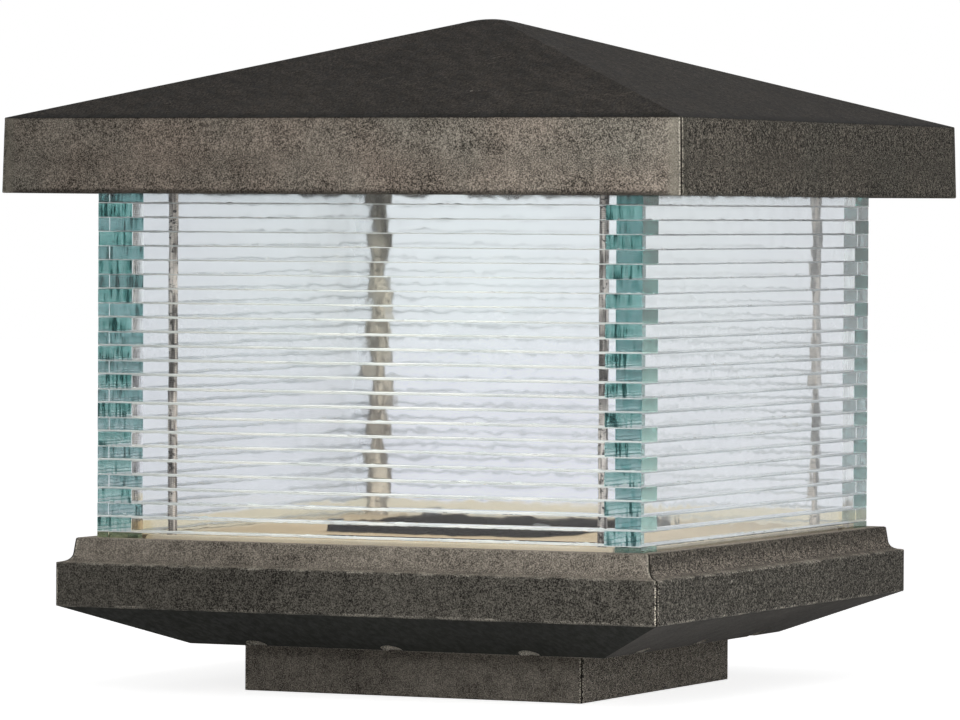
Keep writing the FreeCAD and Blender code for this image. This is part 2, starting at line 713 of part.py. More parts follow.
def roof_cap():
    """The hollow hip roof with its fascia, corner bosses and the bosses that carry the reflector."""
    apex_flat = APEX_RADIUS * math.tan(math.atan(hip_slope) / 2)
    body = four_sided(
        [
            (0, fascia_low, 0),
            (roof_half, fascia_low, FASCIA_EDGE_RADIUS),
            (eave_half, fascia_top, FASCIA_EDGE_RADIUS),
            (apex_flat, ridge - apex_flat * hip_slope, APEX_RADIUS),
            (0, ridge - apex_flat * hip_slope, 0),
        ]
    )
    drawn_in = FASCIA_DRAFT * (ridge - fascia_low) / FASCIA_HEIGHT
    top_half = roof_half - drawn_in
    keep = four_sided([(0, fascia_low, 0), (roof_half, fascia_low, 0), (top_half, ridge, 0), (0, ridge, 0)])
    body = body.common(round_uprights(keep, ROOF_CORNER_RADIUS))
    inner_ridge = ridge - hip_wall
    hollow = four_sided(
        [
            (0, fascia_low - OVERRUN, 0),
            (roof_inner, fascia_low - OVERRUN, 0),
            (roof_inner, inner_ridge - roof_inner * hip_slope, 0),
            (0, inner_ridge, 0),
        ]
    )
    boss_low = plate_top + SEAT_GAP
    corner_bosses = corner_points(roof_boss_place)
    seat = reflector_flat_top()
    middle_bosses = corner_points(REFLECTOR_BOSS_PLACE)
    bosses = [cylinder(ROOF_BOSS_RADIUS, boss_low, ridge, x, y) for x, y in corner_bosses]
    bosses += [cylinder(REFLECTOR_BOSS_RADIUS, seat, ridge, x, y) for x, y in middle_bosses]
    shell = body.cut(hollow).fuse([boss.common(body) for boss in bosses])
    cuts = []
    screw_room = plate_top + ROOF_SCREW_LENGTH + OVERRUN
    for x, y in corner_bosses:
        cuts.append(cylinder(ROOF_INSERT_RADIUS, boss_low - OVERRUN, boss_low + ROOF_INSERT_LENGTH, x, y))
        cuts.append(cylinder(ROOF_SCREW_RADIUS + RUN_GAP, boss_low, screw_room, x, y))
    for x, y in middle_bosses:
        cuts.append(cylinder(REFLECTOR_SCREW_RADIUS, seat - OVERRUN, seat + REFLECTOR_SCREW_LENGTH, x, y))
    return shell.cut(cuts).removeSplitter()


def roof_inserts():
    """Brass inserts in the roof's corner bosses."""
    low = plate_top + SEAT_GAP
    return [
        ring(ROOF_INSERT_RADIUS, ROOF_SCREW_RADIUS + RUN_GAP, low, low + ROOF_INSERT_LENGTH, x, y)
        for x, y in corner_points(roof_boss_place)
    ]


def roof_screws():
    """Four screws that hold the roof, driven up through the top plate outside the glass."""
    return [
        pan_head_screw(
            ROOF_SCREW_RADIUS,
            ROOF_SCREW_HEAD_RADIUS,
            ROOF_SCREW_HEAD_HEIGHT,
            plate_low,
            plate_top + ROOF_SCREW_LENGTH,
            x,
            y,
        )
        for x, y in corner_points(roof_boss_place)
    ]


def reflector_top(half):
    """Height of the reflector's upper side at a half-width."""
    return ridge - hip_wall - REFLECTOR_GAP - half * hip_slope


def reflector_flat_top():
    """Height of the upper side of the reflector's flat middle."""
    return reflector_top(REFLECTOR_FLAT_HALF)


def reflector():
    """White sheet under the roof, parallel to its slopes, with a flat middle."""
    sheet_edge = reflector_top(REFLECTOR_HALF)
    flat = reflector_flat_top()
    outer = four_sided(
        [
            (0, sheet_edge - REFLECTOR_SHEET, 0),
            (REFLECTOR_HALF, sheet_edge - REFLECTOR_SHEET, 0),
            (REFLECTOR_HALF, sheet_edge, 0),
            (REFLECTOR_FLAT_HALF, flat, 0),
            (0, flat, 0),
        ]
    )
    beyond = REFLECTOR_HALF + OVERRUN
    inner = four_sided(
        [
            (0, sheet_edge - REFLECTOR_SHEET - OVERRUN, 0),
            (beyond, sheet_edge - REFLECTOR_SHEET - OVERRUN, 0),
            (beyond, sheet_edge - REFLECTOR_SHEET - OVERRUN * hip_slope, 0),
            (REFLECTOR_FLAT_HALF, flat - REFLECTOR_SHEET, 0),
            (0, flat - REFLECTOR_SHEET, 0),
        ]
    )
    holes = [
        cylinder(REFLECTOR_SCREW_RADIUS, flat - REFLECTOR_SHEET - OVERRUN, flat + OVERRUN, x, y)
        for x, y in corner_points(REFLECTOR_BOSS_PLACE)
    ]
    return outer.cut(inner).cut(holes)


def reflector_screws():
    """Four small screws that hold the reflector's flat middle to the roof."""
    seat = reflector_flat_top() - REFLECTOR_SHEET
    tip = reflector_flat_top() + REFLECTOR_SCREW_LENGTH
    head = REFLECTOR_SCREW_HEAD_RADIUS, REFLECTOR_SCREW_HEAD_HEIGHT
    places = corner_points(REFLECTOR_BOSS_PLACE)
    return [pan_head_screw(REFLECTOR_SCREW_RADIUS, *head, seat, tip, x, y) for x, y in places]


def bridge_screw_points():
    """Two screws at each end of the bridge."""
    end = light_half + BRIDGE_LAP / 2
    side = BRIDGE_SCREW_PITCH / 2
    return [(sx * end, sy * side) for sx, sy in ALL_CORNERS]


def bridge():
    """The strap over the light opening that carries the lamp cluster."""
    body = block(light_half + BRIDGE_LAP, BRIDGE_WIDTH / 2, plate_top, bridge_top)
    holes = [cylinder(HUB_BOLT_RADIUS, plate_top - OVERRUN, bridge_top + OVERRUN)]
    for x, y in bridge_screw_points():
        holes.append(cylinder(BRIDGE_SCREW_RADIUS, plate_top - OVERRUN, bridge_top + OVERRUN, x, y))
    return body.cut(holes)


def bridge_screws():
    """Screws that hold the bridge to the top plate."""
    return [
        pan_head_screw(
            BRIDGE_SCREW_RADIUS,
            BRIDGE_SCREW_HEAD_RADIUS,
            BRIDGE_SCREW_HEAD_HEIGHT,
            bridge_top,
            plate_low - BRIDGE_SCREW_TAIL,
            x,
            y,
        )
        for x, y in bridge_screw_points()
    ]


def hub():
    """The six-sided cup on the bridge. Three of its flats carry lampholders, and one takes the leads."""
    body = six_sided(HUB_FLATS, bridge_top, hub_top)
    inner = six_sided(HUB_FLATS - 2 * HUB_WALL, bridge_top + HUB_WALL, hub_top + OVERRUN)
    cuts = [inner, cylinder(HUB_BOLT_RADIUS, bridge_top - OVERRUN, bridge_top + HUB_WALL + OVERRUN)]
    hole = cylinder(HOLDER_SPIGOT_RADIUS, 0, hub_apothem + OVERRUN)
    cuts += [lay(hole, Vector(0, 0, lamp_axis), angle) for angle in LAMP_ANGLES]
    lead_hole = cylinder(LEAD_HOLE_RADIUS, 0, hub_apothem + OVERRUN)
    cuts.append(lay(lead_hole, Vector(0, 0, lead_hole_z), LEAD_SIDE_ANGLE))
    return body.cut(cuts)


def hub_cover():
    """The snap-on lid of the hub."""
    lid = six_sided(HUB_FLATS, hub_top, hub_top + HUB_COVER_THICKNESS)
    lip = six_sided(HUB_FLATS - 2 * HUB_WALL - 2 * SEAT_GAP, hub_top - HUB_COVER_LIP, hub_top)
    return lid.fuse(lip).removeSplitter()


def hub_bolt():
    """The bolt up through the bridge and the hub's floor."""
    tip = bridge_top + HUB_WALL + HUB_NUT_HEIGHT + HUB_BOLT_TAIL
    return pan_head_screw(HUB_BOLT_RADIUS, HUB_BOLT_HEAD_RADIUS, HUB_BOLT_HEAD_HEIGHT, plate_top, tip)


def hub_nut():
    """The nut on the hub's floor."""
    low = bridge_top + HUB_WALL
    return nut(HUB_NUT_FLATS, HUB_BOLT_RADIUS, low, low + HUB_NUT_HEIGHT)


# Distances along a lamp's axis from the middle of the hub
holder_end = hub_apothem + HOLDER_LENGTH
contact_low = hub_apothem + HOLDER_FLOOR
contact_high = contact_low + CONTACT_THICKNESS
lamp_tip_low = contact_high + CONTACT_GAP
cap_low = lamp_tip_low + LAMP_TIP_HEIGHT
cap_high = cap_low + LAMP_CAP_LENGTH
cap_inner = LAMP_CAP_RADIUS - LAMP_CAP_WALL
shell_outer = LAMP_CAP_RADIUS + RUN_GAP + SHELL_WALL
neck_low = cap_high - LAMP_NECK_LENGTH


def lampholder():
    """A lampholder with its spigot in the hub's wall."""
    spigot_low = hub_apothem - HOLDER_SPIGOT_LENGTH
    barrel = cylinder(HOLDER_RADIUS, hub_apothem, holder_end)
    spigot = cylinder(HOLDER_SPIGOT_RADIUS, spigot_low, hub_apothem)
    well = cylinder(shell_outer, contact_low, holder_end + OVERRUN)
    wire_bore = cylinder(HOLDER_WIRE_BORE, spigot_low - OVERRUN, contact_low - CONTACT_THICKNESS)
    return barrel.fuse(spigot).removeSplitter().cut([well, wire_bore])


def lamp_shell():
    """The threaded brass shell in a lampholder."""
    return ring(shell_outer, shell_outer - SHELL_WALL, contact_high, contact_high + SHELL_LENGTH)


def lamp_contact():
    """The spring contact on a lampholder's floor."""
    return cylinder(CONTACT_RADIUS, contact_low, contact_high)


def lamp_cap():
    """A lamp's brass screw cap with its centre contact."""
    body = cylinder(LAMP_CAP_RADIUS, cap_low, cap_high)
    well = cylinder(cap_inner, cap_low + LAMP_CAP_FLOOR, cap_high + OVERRUN)
    return body.cut(well).fuse(cylinder(LAMP_TIP_RADIUS, lamp_tip_low, cap_low)).removeSplitter()


def envelope_corners(inset):
    """The envelope's half-section from its neck to its top, drawn in by the inset."""
    corners = [(cap_inner - inset, neck_low, 0), (cap_inner - inset, cap_high, 0)]
    for along, out in (LAMP_SHOULDER_SHARES, LAMP_FLANK_SHARES, LAMP_TOP_SHARES):
        radius = LAMP_RADIUS * out - inset
        corners.append((radius, cap_high + LAMP_GLASS_LENGTH * along, LAMP_RADIUS))
    corners.append((0, cap_high + LAMP_GLASS_LENGTH - inset, 0))
    return corners


def lamp_glass():
    """A lamp's torpedo-shaped envelope, open at the neck."""
    return lathe(envelope_corners(LAMP_GLASS_WALL)[::-1] + envelope_corners(0))


def lamp_filament():
    """The glass stem that closes a lamp's neck, with the filament on it."""
    foot_radius = cap_inner - LAMP_GLASS_WALL
    stem_top = cap_high + LAMP_GLASS_LENGTH * LAMP_STEM_SHARE
    corners = [
        (0, neck_low, 0),
        (foot_radius, neck_low, 0),
        (foot_radius, cap_high - LAMP_STEM_RADIUS, 0),
        (LAMP_STEM_RADIUS, cap_high, 0),
        (LAMP_STEM_RADIUS, stem_top, 0),
        (FILAMENT_RADIUS, stem_top, 0),
        (FILAMENT_RADIUS, cap_high + LAMP_GLASS_LENGTH * FILAMENT_REACH_SHARE, 0),
        (0, cap_high + LAMP_GLASS_LENGTH * FILAMENT_REACH_SHARE, 0),
    ]
    return lathe(corners)


def at_lamp(shape, angle):
    """A piece of a lamp or lampholder, laid along its lamp's axis."""
    return lay(shape, Vector(0, 0, lamp_axis), angle)


def connector_place(number):
    """Where a lead enters its wire connector in the base."""
    return heading_step(lead_place(number, connector_z), LEAD_FAN_ANGLES[number], CONNECTOR_REACH)


def lead_start(number):
    """A lead's points from its connector in the base to the pipe."""
    end = heading_step(connector_place(number), LEAD_FAN_ANGLES[number], CONNECTOR_BORE_DEPTH)
    return [end, lead_place(number, connector_z)]


def hub_lead(number, z):
    """A lead from its connector, up the pipe and over to the hub."""
    hub_middle = Vector(0, 0, z)
    approach = heading_step(hub_middle, LEAD_SIDE_ANGLE, hub_apothem + LEAD_APPROACH)
    inside = heading_step(hub_middle, LEAD_SIDE_ANGLE, hub_apothem - HUB_WALL - LEAD_TAIL)
    return lead(lead_start(number) + [lead_place(number, z), approach, inside])


def earth_lead():
    """The earth lead from its connector, up the pipe and over to the terminal on the top plate."""
    over = lead_place(EARTH, lead_low_z)
    down = Vector(over.x, pipe_y - EARTH_STEP, lead_low_z)
    turn = Vector(over.x, down.y, plate_top + TERMINAL_BARREL_RADIUS)
    end = Vector(over.x, earth_y + terminal_radius, turn.z)
    return lead(lead_start(EARTH) + [over, down, turn, end])


def earth_terminal():
    """The ring terminal on the earth lead, flat on the top plate."""
    z = plate_top + TERMINAL_BARREL_RADIUS
    eye = cylinder(terminal_radius, plate_top, plate_top + TERMINAL_THICKNESS, earth_x, earth_y)
    mouth = Vector(earth_x, earth_y + terminal_radius, z)
    root = mouth - Vector(0, TERMINAL_LAP / 2, 0)
    barrel = lay(cylinder(TERMINAL_BARREL_RADIUS, 0, TERMINAL_BARREL), root, 90)
    bore = lay(cylinder(LEAD_RADIUS, 0, TERMINAL_BARREL + OVERRUN), mouth, 90)
    hole = cylinder(EARTH_SCREW_RADIUS, plate_top - OVERRUN, plate_top + OVERRUN, earth_x, earth_y)
    return eye.fuse(barrel).cut([bore, hole]).removeSplitter()


def earth_screws():
    """Two earth screws: one through the terminal into the top plate, and one in the plate on the post."""
    places = (
        (plate_top + TERMINAL_THICKNESS, plate_low - EARTH_SCREW_TAIL, earth_x, earth_y),
        (POST_PLATE_THICKNESS, 0, 0, -POST_EARTH_PLACE),
    )
    head = EARTH_SCREW_HEAD_RADIUS, EARTH_SCREW_HEAD_HEIGHT
    return [pan_head_screw(EARTH_SCREW_RADIUS, *head, seat, tip, x, y) for seat, tip, x, y in places]


def wire_connectors():
    """Three twist-on connectors that lie on the base's floor."""
    corners = [
        (0, 0, 0),
        (CONNECTOR_RADIUS, 0, 0),
        (CONNECTOR_TIP_RADIUS, CONNECTOR_LENGTH, CONNECTOR_TIP_RADIUS / 2),
        (0, CONNECTOR_LENGTH, 0),
    ]
    body = lathe(corners).cut(cylinder(LEAD_RADIUS, -OVERRUN, CONNECTOR_BORE_DEPTH))
    return [lay(body, connector_place(number), angle) for number, angle in enumerate(LEAD_FAN_ANGLES)]


NODES = {
    "roof_cap": roof_cap(),
    "roof_inserts": roof_inserts(),
    "reflector": reflector(),
    "reflector_screws": reflector_screws(),
    "top_plate": top_plate(),
    "roof_screws": roof_screws(),
    "top_gasket": gasket(glass_top),
    "rod_washers": rod_washers(),
    "rod_nuts": rod_nuts(),
    "tie_rods": tie_rods(),
    "rod_inserts": rod_inserts(),
    "lamp_pipe": ring(PIPE_RADIUS, PIPE_BORE_RADIUS, pipe_low, pipe_high, pipe_x, pipe_y),
    "pipe_nuts": pipe_nuts(),
    "pipe_bushings": pipe_bushings(),
    "lamp_bridge": bridge(),
    "bridge_screws": bridge_screws(),
    "cluster_hub": hub(),
    "hub_cover": hub_cover(),
    "hub_bolt": hub_bolt(),
    "hub_nut": hub_nut(),
    "lampholders": [at_lamp(lampholder(), angle) for angle in LAMP_ANGLES],
    "holder_shells": [at_lamp(lamp_shell(), angle) for angle in LAMP_ANGLES],
    "holder_contacts": [at_lamp(lamp_contact(), angle) for angle in LAMP_ANGLES],
    "line_lead": hub_lead(LINE, lead_low_z),
    "neutral_lead": hub_lead(NEUTRAL, lead_low_z + LEAD_STACK),
    "earth_lead": earth_lead(),
    "earth_terminal": earth_terminal(),
    "earth_screws": earth_screws(),
    "wire_connectors": wire_connectors(),
    "front_glass": glass_wall(0, -1),
    "back_glass": glass_wall(0, 1),
    "left_glass": glass_wall(-1, 0),
    "right_glass": glass_wall(1, 0),
    "bottom_gasket": gasket(flange_top),
    "floor_pan": floor_pan(),
    "access_cover": access_cover(),
    "cover_screws": cover_screws(),
    "base_housing": base_housing(),
    "post_foot": foot(),
    "foot_screws": foot_screws(),
    "post_plate": post_plate(),
    **dict(clamp_stack()),
}
for number, angle in enumerate(LAMP_ANGLES, 1):
    NODES[f"lamp_{number}_cap"] = at_lamp(lamp_cap(), angle)
    NODES[f"lamp_{number}_glass"] = at_lamp(lamp_glass(), angle)
    NODES[f"lamp_{number}_filament"] = at_lamp(lamp_filament(), angle)

os.makedirs("parts", exist_ok=True)
for name, shapes in NODES.items():
    save(name, shapes)
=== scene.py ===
"""The outdoor post light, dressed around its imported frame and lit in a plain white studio."""
import json
import math
import random

import bpy
from mathutils import Matrix, Vector, noise


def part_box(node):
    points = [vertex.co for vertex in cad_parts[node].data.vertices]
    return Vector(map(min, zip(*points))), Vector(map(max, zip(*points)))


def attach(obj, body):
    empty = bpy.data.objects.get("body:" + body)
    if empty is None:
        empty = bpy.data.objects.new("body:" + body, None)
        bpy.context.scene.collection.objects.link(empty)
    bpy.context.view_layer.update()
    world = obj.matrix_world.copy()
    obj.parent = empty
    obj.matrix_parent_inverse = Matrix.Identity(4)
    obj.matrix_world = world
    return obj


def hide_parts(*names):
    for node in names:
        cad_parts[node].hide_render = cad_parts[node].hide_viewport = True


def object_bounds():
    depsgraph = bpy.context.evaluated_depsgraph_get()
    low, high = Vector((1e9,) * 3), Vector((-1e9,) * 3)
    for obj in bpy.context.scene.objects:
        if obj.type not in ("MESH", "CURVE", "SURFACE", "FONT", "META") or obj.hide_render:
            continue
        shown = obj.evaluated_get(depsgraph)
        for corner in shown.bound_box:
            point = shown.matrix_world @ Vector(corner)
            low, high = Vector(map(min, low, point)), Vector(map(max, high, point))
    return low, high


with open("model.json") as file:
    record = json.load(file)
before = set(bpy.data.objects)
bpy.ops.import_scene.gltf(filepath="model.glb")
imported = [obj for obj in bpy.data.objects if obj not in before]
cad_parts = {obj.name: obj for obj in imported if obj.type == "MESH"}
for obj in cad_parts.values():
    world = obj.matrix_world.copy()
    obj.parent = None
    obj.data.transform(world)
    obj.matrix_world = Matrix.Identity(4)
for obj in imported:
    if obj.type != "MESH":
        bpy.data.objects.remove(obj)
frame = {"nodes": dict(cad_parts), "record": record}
nodes = frame["nodes"]
cad_low, cad_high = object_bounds()
MM = 0.001

# The photograph's camera
PHOTO_WIDTH = 960
FOCAL_PIXELS = 6313.1
SENSOR = 36.0
CAMERA_AZIMUTH = math.radians(24.816)
CAMERA_DISTANCE = 2.6692
CAMERA_HEIGHT = 0.2007
CAMERA_TURN = 0.0018
CAMERA_PITCH = -0.02369
CAMERA_ROLL = 0.00504

# Glass strips
STRIP_PITCH = 5.9 * MM
BOND_LINE = 0.1 * MM
STRIP_WIDTH = 16.0 * MM
UPPER_ARRIS = 0.14 * MM
LOWER_ARRIS = 0.26 * MM
SIDE_EDGE_SCALE = 0.3
TOP_EDGE_SCALE = 0.32
TOP_ROWS = 9
RIPPLE_LENGTH = 9.0 * MM
CHIP_LENGTH = 4.0 * MM
CHIP_FROM = 0.28
CHIP_GROWTH = 6.0
ARRIS_STEPS = 2
STATION = 2.0 * MM
LONG_WAVE = (38 * MM, 90 * MM)
LONG_WAVE_SLOPE = 0.006
SHORT_WAVE = (9 * MM, 17 * MM)
SHORT_WAVE_SLOPE = 0.007
WAVE_INSET = 0.12 * MM
UPPER_RIPPLE = 0.5
LOWER_RIPPLE = 0.15

# Glass, with heights and distances from the middle line where its look changes
GLASS_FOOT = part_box("front_glass")[0].z
GLASS_TINT = (0.14, 0.52, 0.51, 1.0)
GLASS_DENSITY = 7.4
GLASS_CLARITY = 0.975
GLASS_MIRROR = (0.22, 0.22, 0.22, 1.0)
# Where the painted highlight on the front and back walls lies, off the middle line and in height
GLOW_OFF_MIDDLE = (20 * MM, 100 * MM)
GLOW_HEIGHT = (110 * MM, 170 * MM)
CHATTER_HEIGHT = (120 * MM, 180 * MM)
OUTER_END = (112 * MM, 116 * MM)
BURIED_END = (106 * MM, 110 * MM)
FAR_WALL = (100 * MM, 104 * MM)
# Top and waviness of the painted reflection of the pan, low on the far glass walls
PAN_REFLECTION_TOP = (GLASS_FOOT + 13.0 * MM, GLASS_FOOT + 14.2 * MM)
PAN_REFLECTION_WAVE = 6.0 * MM

# Cast resin
FINE_GRAIN = 1900.0
COARSE_GRAIN = 480.0
NICK_RARITY = 0.94
NICK_REACH = 0.038
# Widths of the painted highlight and the painted shade line down the resin's upright corners
CORNER_HIGHLIGHT_LINE = (1.1 * MM, 1.6 * MM)
CORNER_SHADE_LINE = (0.35 * MM, 0.75 * MM)

# Roof
FASCIA_HEIGHT = 30.7 * MM
EAVE_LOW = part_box("roof_cap")[0].z
EAVE_TOP = EAVE_LOW + FASCIA_HEIGHT
# Heights under the eaves where the sideways glass walls carry a painted shadow
UNDER_EAVE = (EAVE_LOW - 4.5 * MM, EAVE_LOW - 1.5 * MM)
RUBBED_CORNER = (4.0 * MM, 8.0 * MM)

# Base and floor pan
TAPER_HEIGHT = 17.0 * MM
BAND_HEIGHT = 17.6 * MM
# Distances from the middle over which the pan turns to its paler, painted-light cream
PAN_PAINTED_LIGHT_EDGE = (92 * MM, 110 * MM)

# Threads
ROD_THREAD_PITCH = 0.8 * MM
ROD_THREAD_DEPTH = 0.32 * MM
PIPE_THREAD_PITCH = 1.0 * MM
PIPE_THREAD_DEPTH = 0.4 * MM
PIPE_BORE_RADIUS = 3.5 * MM
THREAD_SEGMENTS = 20
ROWS_PER_TURN = 5
FLANK_STEEPNESS = 1.25
CREST_FLAT = 0.12
# Heights over which the pipe darkens towards the top
DARKER_TOP_HEIGHT = (140 * MM, 200 * MM)

# Studio. Each lamp has a name, a place, a place that it faces, a size and a power.
SKY_LIGHT = 0.27
FLOOR_GREY = 240
FLOOR_LIFT = 0.80
FLOOR_HALF = 6.0
FLOOR_DROP = 0.2 * MM
INNER_LAMP_COLOUR = (1.0, 0.95, 0.88)
OUTER_LAMPS = (
    ("key", (0.22, -0.43, 0.22), (0.09, -0.15, 0.17), 0.24, 0.88),
    ("fill", (1.5, 0.2, 0.7), (0.0, 0.0, 0.14), 1.2, 0.26),
    ("floor_glow", (0.40, 0.0, 0.13), (0.40, 0.001, 0.0), 0.20, 0.25),
)
BACK_LAMP = ("back_light", (-0.9, 1.0, 0.40), (0.0, 0.0, 0.16), 0.6, 18.0)


def srgb(red, green, blue):
    """A linear colour from sRGB values of 0 to 255."""
    channels = []
    for value in (red, green, blue):
        share = value / 255
        channels.append(share / 12.92 if share <= 0.04045 else ((share + 0.055) / 1.055) ** 2.4)
    return (*channels, 1.0)


class Shader:
    """A material's node tree, with short ways to add nodes."""

    def __init__(self, name):
        self.material = bpy.data.materials.new(name)
        self.material.use_nodes = True
        self.tree = self.material.node_tree
        self.tree.nodes.clear()
        self.output = self.tree.nodes.new("ShaderNodeOutputMaterial")
        self.coordinates = self.tree.nodes.new("ShaderNodeTexCoord")
        self.place = self.coordinates.outputs["Object"]
        self.facing = self.coordinates.outputs["Normal"]

    def add(self, kind, settings=None, **inputs):
        """Adds a node. Settings are its own properties, and inputs are plain values or sockets."""
        made = self.tree.nodes.new("ShaderNode" + kind)
        for key, value in (settings or {}).items():
            setattr(made, key, value)
        for key, value in inputs.items():
            self.feed(made.inputs[key.replace("_", " ")], value)
        return made

    def feed(self, socket, value):
        """Gives a socket a plain value or a link."""
        if isinstance(value, bpy.types.NodeSocket):
            self.tree.links.new(value, socket)
        else:
            socket.default_value = value

    def math(self, operation, first, second=0.0, third=0.0):
        """One step of sums with up to three values."""
        made = self.tree.nodes.new("ShaderNodeMath")
        made.operation = operation
        self.feed(made.inputs[0], first)
        self.feed(made.inputs[1], second)
        self.feed(made.inputs[2], third)
        return made.outputs[0]

    def stretched(self, scale, turn=0.0):
        """Object coordinates turned about Z and then stretched."""
        turned = self.add("Mapping", Vector=self.place, Rotation=(0.0, 0.0, turn)).outputs[0]
        return self.add("Mapping", Vector=turned, Scale=scale).outputs[0]

    def noise(self, scale, detail=2.0, rough=0.5, vector=None):
        """Grain of one over scale metres."""
        made = self.add("TexNoise", Vector=vector or self.place, Scale=scale, Detail=detail, Roughness=rough)
        return made.outputs["Fac"]

    def ramp(self, factor, stops, interpolation="LINEAR"):
        """Colours, or greys, by a factor."""
        made = self.tree.nodes.new("ShaderNodeValToRGB")
        made.color_ramp.interpolation = interpolation
        elements = made.color_ramp.elements
        while len(elements) < len(stops):
            elements.new(0.5)
        for element, (position, colour) in zip(elements, stops):
            element.position = position
            element.color = colour if isinstance(colour, tuple) else (colour, colour, colour, 1.0)
        self.feed(made.inputs[0], factor)
        return made.outputs[0]

    def mix(self, factor, first, second, blend="MIX"):
        """Two colours mixed."""
        made = self.tree.nodes.new("ShaderNodeMix")
        made.data_type = "RGBA"
        made.blend_type = blend
        self.feed(made.inputs[0], factor)
        self.feed(made.inputs[6], first)
        self.feed(made.inputs[7], second)
        return made.outputs[2]

    def between(self, value, low, high, to_low=0.0, to_high=1.0):
        """A value's place between two limits, clamped and eased."""
        made = self.tree.nodes.new("ShaderNodeMapRange")
        made.interpolation_type = "SMOOTHSTEP"
        for socket, given in zip(made.inputs[:5], (value, low, high, to_low, to_high)):
            self.feed(socket, given)
        return made.outputs[0]

    def bump(self, height, distance, strength=1.0):
        """A bumped normal from a height of 0 to 1 that stands for a distance."""
        return self.add("Bump", Height=height, Distance=distance, Strength=strength).outputs[0]

    def split(self, vector):
        """A vector's X, Y and Z sockets, by name."""
        return self.add("SeparateXYZ", Vector=vector).outputs

    def steepness(self, facing, axis):
        """How squarely a surface faces along an axis, either way, from 0 to 1."""
        return self.math("ABSOLUTE", facing[axis])

    def off_middle(self, place):
        """Distances from the middle planes, across X and across Y."""
        return [self.math("ABSOLUTE", place[axis]) for axis in "XY"]

    def finish(self, **inputs):
        """Ends the tree in one Principled shader and gives the material back."""
        shader = self.add("BsdfPrincipled", **inputs)
        self.tree.links.new(shader.outputs[0], self.output.inputs["Surface"])
        return self.material


def resin(name, tones):
    """Cast resin, speckled, mottled and nicked. Tones picks colour and speckle by place and facing."""
    shader = Shader(name)
    place = shader.split(shader.place)
    facing = shader.split(shader.facing)
    tone, grain = tones(shader, place, facing)
    along = downhill(shader, place, facing)
    fine = shader.noise(FINE_GRAIN, 3.0, 0.7, along)
    coarse = shader.noise(COARSE_GRAIN, 3.0, 0.6, along)
    speck = shader.math("ADD", shader.math("MULTIPLY", fine, 0.8), shader.math("MULTIPLY", coarse, 0.2))
    speck = shader.between(speck, 0.39, 0.66)
    coarser_sideways = shader.math("MULTIPLY_ADD", shader.steepness(facing, "X"), 2.4, 1.0)
    grain = shader.math("MULTIPLY", grain, coarser_sideways)
    spread = shader.math("MULTIPLY", shader.math("SUBTRACT", speck, 0.41), grain)
    blotches = shader.math("SUBTRACT", shader.noise(130.0, 3.0, 0.6), 0.5)
    clouds = shader.math("SUBTRACT", shader.noise(26.0, 2.0, 0.5), 0.5)
    mottle = shader.math("ADD", shader.math("MULTIPLY", blotches, 1.1), shader.math("MULTIPLY", clouds, 0.9))
    brighten = shader.math("MAXIMUM", shader.math("ADD", shader.math("ADD", 1.0, spread), mottle), 0.12)
    shade = shader.add("CombineColor", Red=brighten, Green=brighten, Blue=brighten).outputs[0]
    colour = shader.mix(1.0, tone, shade, "MULTIPLY")
    colour = shader.mix(nicks(shader, fine), colour, srgb(168, 163, 152))
    relief = shader.math("ADD", shader.math("MULTIPLY", fine, 0.6), shader.math("MULTIPLY", coarse, 0.4))
    return shader.finish(
        Base_Color=colour,
        Roughness=shader.between(coarse, 0.3, 0.7, 0.72, 0.9),
        Specular_IOR_Level=0.1,
        Normal=shader.bump(relief, 0.25 * MM, 0.55),
    )


def nicks(shader, fine):
    """A mask of a few small ragged nicks."""
    place = shader.stretched((22.0, 22.0, 34.0))
    cells = shader.add("TexVoronoi", {"feature": "F1"}, Vector=place, Scale=1.0)
    draw = shader.add("SeparateColor", Color=cells.outputs["Color"]).outputs[0]
    chosen = shader.math("GREATER_THAN", draw, NICK_RARITY)
    ragged = shader.math("ADD", cells.outputs["Distance"], shader.math("MULTIPLY", fine, 0.03))
    return shader.math("MULTIPLY", chosen, shader.math("LESS_THAN", ragged, NICK_REACH))


def downhill(shader, place, facing):
    """Places squeezed along the slopes, so that their grain is drawn out the way that rain runs."""
    squeezed = []
    on_slope = shader.between(shader.steepness(facing, "Z"), 0.88, 0.94)
    for axis in "XY":
        lean = shader.between(shader.steepness(facing, axis), 0.1, 0.25, 0.0, 0.85)
        kept = shader.math("SUBTRACT", 1.0, shader.math("MULTIPLY", lean, on_slope))
        squeezed.append(shader.math("MULTIPLY", place[axis], kept))
    return shader.add("CombineXYZ", X=squeezed[0], Y=squeezed[1], Z=place["Z"]).outputs[0]


def corner_lines(shader, place, facing, tone):
    """A tone with a painted shade line down each upright corner and, on its front or back face, a pale
    painted highlight beside it.
    """
    from_edge = shader.math("ABSOLUTE", shader.math("SUBTRACT", *shader.off_middle(place)))
    # Painted highlight: a pale line beside each upright corner, on front and back faces only.
    highlight_and_wear = shader.between(from_edge, *CORNER_HIGHLIGHT_LINE, 1.0, 0.0)
    highlight_and_wear = shader.math("MULTIPLY", highlight_and_wear, shader.between(shader.steepness(facing, "Y"), 0.3, 0.7))
    tone = shader.mix(highlight_and_wear, tone, srgb(160, 154, 142))
    # Painted shade: a dark line down each upright corner.
    return shader.mix(shader.between(from_edge, *CORNER_SHADE_LINE, 1.0, 0.0), tone, srgb(44, 41, 37))


